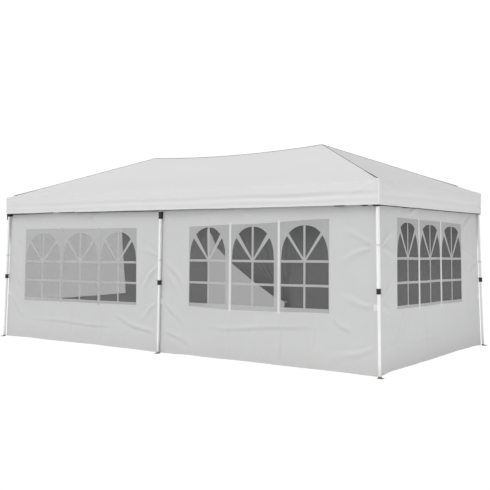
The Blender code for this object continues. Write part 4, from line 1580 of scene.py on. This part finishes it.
def make_swept_half(wall):
    """The door half, gathered to its tie beside the middle leg."""
    edge = tuple((z, x) for x, z in swept_edge())
    low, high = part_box("back_left_wall_swept_half")
    folds = sizes().door_folds
    across = folds * 14
    rows = divided((low.z, 0.35, 0.45, 0.52, high.z), 0.020)
    bm = bmesh.new()
    flat = {}
    grid = []
    for z in rows:
        left = straight_between(edge, z)
        wide = -0.0003 - left
        tied = ease((1.62 - z) / 1.17)
        cloth = 1.65 - 0.60 * tied
        deep = math.sqrt(max(cloth**2 - wide**2, 0.0)) / (4 * folds)
        deep = min(deep, 0.034) * ease((1.62 - z) / 0.25)
        pinch = bell(z - 0.450, 0.05)
        deep *= 1 - 0.45 * pinch
        row = []
        for i in range(across + 1):
            share = i / across
            wander = 0.10 * ripple(share * 9.0, z * 1.4, 51.0)
            phase = 2 * math.pi * folds * share + wander * 6
            wave = math.sin(phase) + 0.22 * math.sin(2.0 * phase + 1.1)
            inward = deep * (1.15 + wave) + 0.0008
            sag = 0.020 * math.sin(math.pi * share) * ease((1.60 - z) / 0.5) * (1 - tied)
            x = left + wide * share
            base = wall.place(x, z)
            edge_calm = ease(min(share, 1 - share) / 0.02)
            base.y -= (inward * (0.3 + 0.7 * edge_calm) + 0.004 * tied)
            base.z = z - sag + 0.004 * math.sin(phase * 0.5) * tied * (1 if z < 0.3 else 0)
            vert = bm.verts.new(base)
            flat[vert] = (-1.65 + 1.65 * share, z)
            row.append(vert)
        grid.append(row)
    for first, second in zip(grid, grid[1:]):
        for i in range(across):
            bm.faces.new((first[i], first[i + 1], second[i + 1], second[i]))
    set_cloth_map(bm, flat)
    piece = object_from("back_left_wall_swept_half_cloth", bm)
    face_outwards(piece, wall.away)
    thicken(piece, sizes().cloth)
    dress(piece, wall_cloth())
    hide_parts("back_left_wall_swept_half")
    strap = make_door_strap(wall)


def straight_between(table, value):
    """As between, with sharp corners. The table runs from high to low."""
    for (high, first), (low, second) in zip(table, table[1:]):
        if value >= low:
            share = (value - low) / (high - low)
            return second + (first - second) * min(share, 1.0)
    return table[-1][1]


def make_door_strap(wall):
    """The strap that holds the swept half, from the wall's edge round the gathered folds."""
    bm = bmesh.new()
    layer = bm.loops.layers.uv.new("cloth")
    rings = []
    steps = 40
    gone = 0.0
    for i in range(steps + 1):
        turn = 2 * math.pi * i / steps
        x = -0.046 + 0.043 * math.cos(turn)
        back = wall.place(-0.046, 0.45).y
        y = back - 0.0285 + 0.0315 * math.sin(turn)
        ring = []
        for z, out in ((0.435, 0), (0.435, 0.0014), (0.465, 0.0014), (0.465, 0)):
            spot = Vector((x + out * math.cos(turn), y + out * math.sin(turn), z))
            spot.z += 0.003 * math.cos(turn)
            ring.append((bm.verts.new(spot), (gone, z - 0.45)))
        gone += 0.0059
        rings.append(ring)
    for first, second in zip(rings, rings[1:]):
        for i in range(4):
            j = (i + 1) % 4
            face = bm.faces.new([c[0] for c in (first[i], first[j], second[j], second[i])])
            for loop, corner in zip(face.loops, (first[i], first[j], second[j], second[i])):
                loop[layer].uv = corner[1]
    bmesh.ops.remove_doubles(bm, verts=bm.verts, dist=0.0001)
    bmesh.ops.recalc_face_normals(bm, faces=bm.faces)
    strap = object_from("back_left_door_strap", bm)
    smooth(strap, 40)
    return dress(strap, seam_tape())


def make_zip(name, wall, path, half=False):
    """A zip: a white tape with a coil along its middle. half is not used."""
    tape = tape_object(f"{name}_zip_tape", wall, [path], 0.030, 0.0008, seam_tape())
    bm = bmesh.new()
    layer = bm.loops.layers.uv.new("cloth")
    ribbon(bm, RaisedWall(wall, 0.0008), path, 0.0065, 0.0016, layer)
    bmesh.ops.recalc_face_normals(bm, faces=bm.faces)
    coil = object_from(f"{name}_zip_coil", bm)
    smooth(coil, 30)
    dress(coil, zip_coil())
    return [tape, coil]


class RaisedWall:
    """A wall, seen from a little further out."""

    def __init__(self, wall, up):
        self.wall = wall
        self.up = up

    def place(self, along, z, out=0.0):
        return self.wall.place(along, z, out + self.up)


def make_puller(name, spot, away):
    """A zip slider with its pull tab hanging down."""
    take_nothing()
    bpy.ops.mesh.primitive_cube_add(size=1, location=(0, 0, 0), scale=(0.009, 0.005, 0.013))
    slider = bpy.context.active_object
    bpy.ops.object.mode_set(mode="EDIT")
    bpy.ops.mesh.select_all(action="SELECT")
    bpy.ops.mesh.bevel(offset=0.0014, segments=2)
    bpy.ops.object.mode_set(mode="OBJECT")
    bpy.ops.mesh.primitive_cube_add(
        size=1, location=(0, -0.0040, -0.016), scale=(0.007, 0.0014, 0.030))
    tab = bpy.context.active_object
    bpy.ops.object.mode_set(mode="EDIT")
    bpy.ops.mesh.select_all(action="SELECT")
    bpy.ops.mesh.bevel(offset=0.0005, segments=2)
    bpy.ops.object.mode_set(mode="OBJECT")
    take(slider, tab)
    bpy.ops.object.join()
    slider.name = name
    take(slider)
    bpy.ops.object.transform_apply(location=True, rotation=True, scale=True)
    turn = math.pi if away.y > 0 else 0.0
    bpy.ops.object.mode_set(mode="EDIT")
    bpy.ops.mesh.select_all(action="SELECT")
    if turn:
        bpy.ops.transform.rotate(value=math.pi, orient_axis="Z", center_override=(0, 0, 0))
    bpy.ops.transform.translate(value=spot + away * 0.0045)
    bpy.ops.object.mode_set(mode="OBJECT")
    smooth(slider, 40)
    return dress(slider, zinc_bolt())


def take_nothing():
    if bpy.context.mode != "OBJECT":
        bpy.ops.object.mode_set(mode="OBJECT")
    bpy.ops.object.select_all(action="DESELECT")


# Legs and their fittings. Each is modelled upright on the leg's own axis and copied.


def solid_box(name, low, high, bevel, upright_only=False):
    """A block between two corners, with rounded edges."""
    take_nothing()
    middle = [(a + b) / 2 for a, b in zip(low, high)]
    size = [b - a for a, b in zip(low, high)]
    bpy.ops.mesh.primitive_cube_add(size=1, location=middle, scale=size)
    piece = bpy.context.active_object
    piece.name = name
    bpy.ops.object.transform_apply(location=True, rotation=True, scale=True)
    bpy.ops.object.mode_set(mode="EDIT")
    bpy.ops.mesh.select_all(action="DESELECT")
    bm = bmesh.from_edit_mesh(piece.data)
    bm.select_mode = {"EDGE"}
    for edge in bm.edges:
        run = edge.verts[1].co - edge.verts[0].co
        edge.select = not upright_only or abs(run.z) > 0.9 * run.length
    bm.select_flush_mode()
    bmesh.update_edit_mesh(piece.data)
    bpy.ops.mesh.bevel(offset=bevel, segments=2, affect="EDGES")
    bpy.ops.object.mode_set(mode="OBJECT")
    return piece


def round_pin(name, centre, radius, depth, axis="Y", sides=20, bevel=0.0):
    take_nothing()
    turn = {"X": (0, math.pi / 2, 0), "Y": (math.pi / 2, 0, 0), "Z": (0, 0, 0)}[axis]
    bpy.ops.mesh.primitive_cylinder_add(
        vertices=sides, radius=radius, depth=depth, location=centre, rotation=turn)
    piece = bpy.context.active_object
    piece.name = name
    bpy.ops.object.transform_apply(location=True, rotation=True, scale=True)
    if bevel:
        apply_modifier(piece, "BEVEL", width=bevel, segments=2, limit_method="ANGLE")
    return piece


def cut_away(piece, *cutters):
    for cutter in cutters:
        apply_modifier(piece, "BOOLEAN", operation="DIFFERENCE", solver="EXACT", object=cutter)
        bpy.data.objects.remove(cutter, do_unlink=True)


def joined(name, *pieces):
    take(*pieces)
    if len(pieces) > 1:
        bpy.ops.object.join()
    piece = bpy.context.view_layer.objects.active
    piece.name = name
    return piece


def leg_place(piece, place):
    """Moves a copy of an upright piece onto a leaning leg, mirrored to its side."""
    side_x, side_y = place
    lean = sizes().lean
    top = sizes().leg_top_z
    rows = [
        (side_x, 0, -side_x * lean, side_x * (sizes().leg_x + lean * top)),
        (0, side_y, -side_y * lean, side_y * (sizes().leg_y + lean * top)),
        (0, 0, 1, 0),
        (0, 0, 0, 1),
    ]
    if side_x == 0:
        rows[0] = (1, 0, 0, 0)
    piece.data.transform(Matrix(rows))
    mirrored = side_y * (side_x or 1) < 0
    if mirrored:
        piece.data.flip_normals()
    return piece


def copies_on_legs(templates, suffix, look, replaced=None, body=None):
    """Copies the corner or the middle template to each leg, and then removes both."""
    for where, place in LEG_PLACES.items():
        template = templates["middle" if place[0] == 0 else "corner"]
        piece = bpy.data.objects.new(f"{where}_{suffix}", template.data.copy())
        bpy.context.collection.objects.link(piece)
        leg_place(piece, place)
        smooth(piece, 35)
        dress(piece, look, f"{where}_foot" if body else "tent")
        if replaced:
            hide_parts(f"{where}_{replaced}")
    for template in set(templates.values()):
        bpy.data.objects.remove(template, do_unlink=True)


def lower_leg_template():
    tube = solid_box("tube", (-0.0125, -0.0125, 0.0035), (0.0125, 0.0125, 1.078), 0.002, True)
    holes = [round_pin("hole", (0, 0.0125, z), 0.0036, 0.008) for z in (0.780, 0.680, 0.580)]
    cut_away(tube, *holes)
    return joined("lower_leg", tube)


def foot_plate_template(kind):
    skirt = solid_box("skirt", (-0.0148, -0.0148, 0.0030), (0.0148, 0.0148, 0.0160), 0.0012)
    bore = solid_box("bore", (-0.0127, -0.0127, 0.0045), (0.0127, 0.0127, 0.03), 0.001)
    cut_away(skirt, bore)
    left = -0.015 if kind == "corner" else -0.030
    right = 0.045 if kind == "corner" else 0.030
    plate = solid_box("plate", (left, -0.015, 0.0), (right, 0.045, 0.004), 0.006, True)
    stake = (0.031, 0.031, 0.002) if kind == "corner" else (0.0, 0.031, 0.002)
    cut_away(plate, round_pin("stake", stake, 0.0055, 0.02, "Z"))
    return joined(f"foot_plate_{kind}", plate, skirt)


def lock_template():
    body = solid_box("body", (-0.0186, -0.0186, 0.862), (0.0186, 0.0186, 0.916), 0.003, True)
    upper = solid_box("upper", (-0.0200, -0.0200, 0.903), (0.0200, 0.0200, 0.918), 0.0022)
    lower = solid_box("lower", (-0.0200, -0.0200, 0.860), (0.0200, 0.0200, 0.872), 0.0022)
    for part in (body, upper, lower):
        low_z = 0.84
        bore = solid_box("bore", (-0.0153, -0.0153, low_z), (0.0153, 0.0153, 0.95), 0.001, True)
        cut_away(part, bore)
    guard = solid_box("guard", (-0.0125, 0.0165, 0.874), (0.0125, 0.0215, 0.904), 0.0016)
    button = solid_box("button", (-0.0080, 0.0195, 0.878), (0.0080, 0.0258, 0.900), 0.0022)
    ribs = []
    for shift in (-0.0045, 0.0, 0.0045):
        ribs.append(solid_box(
            "rib", (-0.0055, 0.0250, 0.8884 + shift), (0.0055, 0.0264, 0.8898 + shift), 0.0004))
    return joined("lock", body, upper, lower, guard, button, *ribs)


def collar_template(kind, low_z, high_z, lug_low, lug_high, bore_top):
    """A slider or a bracket: a ring round the tube with lugs for the truss bars."""
    ring = solid_box("ring", (-0.0192, -0.0192, low_z), (0.0192, 0.0192, high_z), 0.003)
    foot = solid_box("foot", (-0.0200, -0.0200, low_z), (0.0200, 0.0200, low_z + 0.010), 0.0018)
    head_z = high_z - 0.010
    head = solid_box("head", (-0.0200, -0.0200, head_z), (0.0200, 0.0200, high_z), 0.0018)
    bolts = []
    lean = sizes().lean * (sizes().leg_top_z - (lug_low + lug_high) / 2)
    far = -(0.0522 + lean)
    middle_z = (lug_low + lug_high) / 2
    if kind == "middle":
        lug = solid_box("lug", (-0.0196, far, lug_low), (0.0196, -0.0170, lug_high), 0.0022)
        groove = solid_box(
            "groove", (-0.0060, far - 0.01, lug_low - 0.01), (0.0060, -0.034, lug_high + 0.01),
            0.001)
    else:
        lug = solid_box("lug", (far, far, lug_low), (-0.0170, -0.0170, lug_high), 0.0022)
        groove = solid_box(
            "groove", (far - 0.01, far - 0.01, lug_low - 0.01),
            (far + 0.012, far + 0.012, lug_high + 0.01), 0.001)
    cut_away(lug, groove)
    for side in (-1, 1):
        z = (low_z + high_z) / 2
        bolts.append(round_pin("boss", (0, side * 0.0194, z), 0.0062, 0.0012, "Y", 18, 0.0003))
        bolts.append(round_pin("boss", (side * 0.0194, 0, z), 0.0062, 0.0012, "X", 18, 0.0003))
    spot = (0, far + 0.004, middle_z) if kind == "middle" else (far + 0.016, far + 0.018, middle_z)
    bolts.append(round_pin("lug_boss", spot, 0.0060, 0.010, "Y", 18, 0.0004))
    bore_low = low_z - 0.02
    for part in (ring, foot, head):
        bore = solid_box("bore", (-0.0153, -0.0153, bore_low), (0.0153, 0.0153, bore_top), 0.001)
        cut_away(part, bore)
    return joined(f"collar_{kind}", ring, foot, head, lug, *bolts)


def make_leg_fittings():
    leg = lower_leg_template()
    legs = {"corner": leg, "middle": leg}
    copies_on_legs(legs, "foot_leg", powder_coat(), "lower_leg", body=True)
    plates = {kind: foot_plate_template(kind) for kind in ("corner", "middle")}
    copies_on_legs(plates, "foot_plate", foot_steel(), body=True)
    lock = lock_template()
    copies_on_legs({"corner": lock, "middle": lock}, "push_lock", black_nylon(),
                   "leg_lock")
    sliders = {}
    brackets = {}
    for kind, node in (("corner", "front_right"), ("middle", "front_middle")):
        low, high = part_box(f"{node}_slider")
        sliders[kind] = collar_template(
            kind, low.z, high.z, low.z + 0.013, high.z - 0.007, high.z + 0.02)
    copies_on_legs(sliders, "slider_moulding", black_nylon(), "slider")
    for kind, node in (("corner", "front_right"), ("middle", "front_middle")):
        low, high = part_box(f"{node}_bracket")
        top = high.z - 0.0006
        brackets[kind] = collar_template(kind, low.z, top, low.z + 0.016, top - 0.006, 2.0003)
    copies_on_legs(brackets, "bracket_moulding", black_nylon(), "bracket")


def finish_carried_nodes():
    """Gives the frame's own meshes their powder coat."""
    kept = [f"{where}_upper_leg" for where in LEG_PLACES]
    kept += [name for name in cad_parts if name.endswith(("_truss", "_pole"))]
    for name in kept:
        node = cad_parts[name]
        for slot in node.material_slots:
            slot.material = powder_coat()


# Ties.


TIE_HEIGHTS = {
    "front_left": (1.20, 0.65),
    "front_middle": (1.17, 0.65),
    "front_right": (1.37, 0.72),
    "back_left": (1.18, 0.66),
    "back_middle": (1.16, 0.64),
    "back_right": (1.13, 0.66),
}


def tie_template(kind):
    """A band round the upper tube, with a tab to each wall that meets there."""
    band = solid_box("band", (-0.0166, -0.0166, -0.0125), (0.0166, 0.0166, 0.0125), 0.0008, True)
    bore = solid_box("bore", (-0.0152, -0.0152, -0.05), (0.0152, 0.0152, 0.05), 0.0006, True)
    cut_away(band, bore)
    lap = solid_box("lap", (-0.0120, 0.0160, -0.0118), (0.0166, 0.0178, 0.0118), 0.0006)
    tabs = [solid_box("tab", (-0.0110, -0.0218, -0.0120), (0.0110, -0.0160, 0.0120), 0.0006)]
    if kind == "corner":
        tabs.append(solid_box(
            "tab", (-0.0218, -0.0110, -0.0120), (-0.0160, 0.0110, 0.0120), 0.0006))
    return joined(f"tie_{kind}", band, lap, *tabs)


def make_ties(walls):
    """Hook tape ties: bands on the upper tubes, and sewn patches lower down."""
    templates = {kind: tie_template(kind) for kind in ("corner", "middle")}
    for where, place in LEG_PLACES.items():
        height = TIE_HEIGHTS[where][0]
        template = templates["middle" if place[0] == 0 else "corner"]
        piece = bpy.data.objects.new(f"{where}_tie", template.data.copy())
        bpy.context.collection.objects.link(piece)
        take(piece)
        piece.data.transform(Matrix.Translation((0, 0, height)))
        leg_place(piece, place)
        smooth(piece, 35)
        dress(piece, seam_tape())
    for template in templates.values():
        bpy.data.objects.remove(template, do_unlink=True)
    spots = {
        "front_left": [("front_left", -2.972), ("left_end", -1.470)],
        "front_middle": [("front_left", -0.024), ("front_right", 0.024)],
        "front_right": [("front_right", 2.972), ("right_end", -1.470)],
        "back_left": [("back_left", -2.972), ("left_end", 1.470)],
        "back_middle": [("back_right", 0.024)],
        "back_right": [("back_right", 2.972), ("right_end", 1.470)],
    }
    for where, places in spots.items():
        low = TIE_HEIGHTS[where][1]
        for number, (side, along) in enumerate(places, 1):
            path = straight((along, low - 0.032), (along, low + 0.032), 0.008)
            name = f"{where}_tie_patch_{number}"
            tape_object(name, walls[side], [path], 0.042, 0.0010, seam_tape())


# Stage.


def make_floor():
    take_nothing()
    bpy.ops.mesh.primitive_circle_add(vertices=96, radius=60, fill_type="NGON")
    floor = bpy.context.active_object
    floor.name = "studio_floor"
    made, tree, shader = new_material("pale_floor", (0.86, 0.86, 0.86), 0.9)
    shader.inputs["Specular IOR Level"].default_value = 0.1
    path = add_node(tree, "ShaderNodeLightPath")
    glow = add_node(tree, "ShaderNodeEmission")
    glow.inputs["Strength"].default_value = 1.02
    mixed = add_node(tree, "ShaderNodeMixShader")
    connect(tree, path.outputs["Is Camera Ray"], mixed.inputs["Fac"])
    connect(tree, shader.outputs["BSDF"], mixed.inputs[1])
    connect(tree, glow.outputs["Emission"], mixed.inputs[2])
    connect(tree, mixed.outputs["Shader"], tree.nodes["Material Output"].inputs["Surface"])
    floor.data.materials.append(made)


def make_world():
    world = bpy.data.worlds.new("pale_studio")
    world.use_nodes = True
    bpy.context.scene.world = world
    tree = world.node_tree
    background = tree.nodes["Background"]
    path = add_node(tree, "ShaderNodeLightPath")
    sky = bpy.context.scene.marquee_light.sky
    strength = calculate(tree, "MULTIPLY_ADD", path.outputs["Is Camera Ray"], 1.02 - sky, sky)
    background.inputs["Color"].default_value = (1.0, 1.0, 1.0, 1.0)
    connect(tree, strength, background.inputs["Strength"])


def make_light(name, kind, location, power, size=None, target=(0, 0, 1.0)):
    data = bpy.data.lights.new(name, kind)
    data.energy = power
    if kind == "SUN":
        data.angle = math.radians(38)
    elif kind == "AREA":
        data.shape = "RECTANGLE"
        data.size, data.size_y = size
    light = bpy.data.objects.new(name, data)
    light.location = location
    run = Vector(target) - Vector(location)
    light.rotation_euler = run.to_track_quat("-Z", "Y").to_euler()
    bpy.context.collection.objects.link(light)
    return light


def make_lights():
    light = bpy.context.scene.marquee_light
    make_light("key", "SUN", (-3.2, -4.6, 9.4), light.key)
    make_light("fill", "SUN", (-1.0, -9.4, 3.1), light.fill)
    side = make_light("side", "AREA", (5.7, -0.2, 0.10), light.side, (5.0, 0.5), (3.0, 0, 0.6))
    side.visible_camera = False
    side.visible_glossy = False
    for x in (-1.5, 1.5):
        lamp = make_light(
            f"inside_{'left' if x < 0 else 'right'}", "AREA", (x, 0, 1.62), light.inside,
            (2.6, 2.2), (x, 0, 0))
        lamp.visible_camera = False
        lamp.visible_glossy = False


def make_camera():
    data = bpy.data.cameras.new("camera")
    data.sensor_width = 36
    data.lens = 782.9 / 490 * 36
    data.clip_end = 200
    camera = bpy.data.objects.new("camera", data)
    camera.location = (6.646, -8.888, 1.412)
    camera.rotation_euler = (math.radians(90 - 0.30), 0, math.radians(35.86))
    bpy.context.collection.objects.link(camera)
    bpy.context.scene.camera = camera


# Operators.


def all_walls():
    front_left, z_front_left = window_of("front_left_window_film", True)
    front_right, z_front_right = window_of("front_right_window_film", True)
    right_end, z_right_end = window_of("right_end_window_film", False)
    left_end, z_left_end = window_of("left_end_window_film", False)
    return {
        "front_left": Wall(True, -1, FRONT_LEFT_FOLDS, front_left, z_front_left, 0.010,
                           askew=FRONT_LEFT_ASKEW),
        "front_right": Wall(True, -1, FRONT_RIGHT_FOLDS, front_right, z_front_right, 0.010,
                            askew=FRONT_RIGHT_ASKEW),
        "right_end": Wall(False, 1, RIGHT_END_FOLDS, right_end, z_right_end, 0.020,
                          askew=RIGHT_END_ASKEW),
        "left_end": Wall(False, -1, LEFT_END_FOLDS, left_end, z_left_end, 0.020, 1,
                         LEFT_END_ASKEW),
        "back_left": Wall(True, 1, BACK_LEFT_FOLDS),
        "back_right": Wall(True, 1, BACK_RIGHT_FOLDS),
    }


class MARQUEE_OT_stage(bpy.types.Operator):
    """Makes the camera, the floor and the light"""

    bl_idname = "marquee.stage"
    bl_label = "Stage"

    def execute(self, context):
        make_camera()
        make_floor()
        make_world()
        make_lights()
        context.scene.view_settings.view_transform = "Standard"
        return {"FINISHED"}


class MARQUEE_OT_canopy(bpy.types.Operator):
    """Makes the canopy with its valance, hem and piping"""

    bl_idname = "marquee.canopy"
    bl_label = "Canopy"

    def execute(self, context):
        make_canopy()
        return {"FINISHED"}


class MARQUEE_OT_front_walls(bpy.types.Operator):
    """Makes the two front walls and their windows"""

    bl_idname = "marquee.front_walls"
    bl_label = "Front walls"

    def execute(self, context):
        walls = all_walls()
        left = walls["front_left"]
        right = walls["front_right"]
        # The front left strips take the ink's mid grey, with its painted shade, in place of the
        # white tape.
        look = print_ink(0.97)
        pieces = make_window("front_left", left, 0.38, 0.86, False, strip_look=look, slant=48)
        make_wall("front_left_wall", left, -left.edge, -0.0002, pieces)
        shifts = (-0.022, -0.020, 0.003)
        pieces = make_window("front_right", right, 0.41, 0.86, False, shifts)
        make_wall("front_right_wall", right, 0.0002, right.edge, pieces)
        return {"FINISHED"}


class MARQUEE_OT_end_walls(bpy.types.Operator):
    """Makes the two end walls and their windows"""

    bl_idname = "marquee.end_walls"
    bl_label = "End walls"

    def execute(self, context):
        walls = all_walls()
        right = walls["right_end"]
        left = walls["left_end"]
        # The right end's film is more opaque than the front ones: a painted shade for the darker
        # panes of the end.
        pieces = make_window("right_end", right, 0.46, 0.86, True)
        make_wall("right_end_wall", right, -right.edge, right.edge, pieces)
        pieces = make_window("left_end", left, 0.02, 0.0, True)
        make_wall("left_end_wall", left, -left.edge, left.edge, pieces)
        return {"FINISHED"}


class MARQUEE_OT_back_walls(bpy.types.Operator):
    """Makes the two back walls with their zip doors, one closed and one swept aside"""

    bl_idname = "marquee.back_walls"
    bl_label = "Back walls"

    def execute(self, context):
        walls = all_walls()
        left = walls["back_left"]
        right = walls["back_right"]
        head = sizes().door_head_z
        zip_x = sizes().zip_offset
        away = Vector((0, 1, 0))
        pieces = make_zip("back_right_upright", right, straight((zip_x, 0.012), (zip_x, head)))
        pieces += make_zip("back_right_head", right, straight((0.030, head), (zip_x, head)))
        pieces.append(make_puller("back_right_puller", right.place(zip_x, 0.10, 0.002), away))
        make_wall("back_right_wall", right, 0.0002, right.edge, pieces)
        edge = -zip_x - 0.016
        pieces = make_zip("back_left_upright", left, straight((edge, 0.012), (edge, head)))
        pieces.append(make_puller("back_left_puller", left.place(edge, 0.14, 0.002), away))
        make_wall("back_left_wall_fixed_half", left, -left.edge, -zip_x - 0.0002, pieces)
        top = head + 0.016
        pieces = make_zip("back_left_head", left, straight((-zip_x, top), (-0.030, top)))
        make_wall(
            "back_left_wall_head", left, -zip_x + 0.0002, -0.0002, pieces, head, hem=False)
        make_swept_half(Wall(True, 1))
        return {"FINISHED"}


class MARQUEE_OT_leg_fittings(bpy.types.Operator):
    """Makes the feet, locks, sliders and brackets"""

    bl_idname = "marquee.leg_fittings"
    bl_label = "Leg fittings"

    def execute(self, context):
        make_leg_fittings()
        return {"FINISHED"}


class MARQUEE_OT_frame_finish(bpy.types.Operator):
    """Finishes the upper legs, the trusses and the peak poles"""

    bl_idname = "marquee.frame_finish"
    bl_label = "Frame finish"

    def execute(self, context):
        finish_carried_nodes()
        return {"FINISHED"}


class MARQUEE_OT_ties(bpy.types.Operator):
    """Makes the ties that hold the walls to the legs"""

    bl_idname = "marquee.ties"
    bl_label = "Wall ties"

    def execute(self, context):
        make_ties(all_walls())
        return {"FINISHED"}


class MARQUEE_PT_panel(bpy.types.Panel):
    """Lists what makes the tent, and its sizes"""

    bl_label = "Folding marquee"
    bl_idname = "MARQUEE_PT_panel"
    bl_space_type = "VIEW_3D"
    bl_region_type = "UI"
    bl_category = "Marquee"

    def draw(self, context):
        layout = self.layout
        for group in ("marquee_sizes", "marquee_colours", "marquee_light"):
            settings = getattr(context.scene, group)
            box = layout.box()
            for key in settings.__annotations__:
                box.prop(settings, key)
        for operator in OPERATORS:
            layout.operator(operator.bl_idname)


OPERATORS = (
    MARQUEE_OT_stage,
    MARQUEE_OT_canopy,
    MARQUEE_OT_front_walls,
    MARQUEE_OT_end_walls,
    MARQUEE_OT_back_walls,
    MARQUEE_OT_leg_fittings,
    MARQUEE_OT_frame_finish,
    MARQUEE_OT_ties,
)
GROUPS = (
    ("marquee_sizes", MarqueeSizes),
    ("marquee_colours", MarqueeColours),
    ("marquee_light", MarqueeLight),
)


def register():
    for name, group in GROUPS:
        bpy.utils.register_class(group)
        setattr(bpy.types.Scene, name, PointerProperty(type=group))
    for made in OPERATORS + (MARQUEE_PT_panel,):
        bpy.utils.register_class(made)


def unregister():
    for made in reversed(OPERATORS + (MARQUEE_PT_panel,)):
        bpy.utils.unregister_class(made)
    for name, group in GROUPS:
        delattr(bpy.types.Scene, name)
        bpy.utils.unregister_class(group)


def main():
    register()
    for operator in OPERATORS:
        group, name = operator.bl_idname.split(".")
        getattr(getattr(bpy.ops, group), name)()


if __name__ == "__main__":
    main()
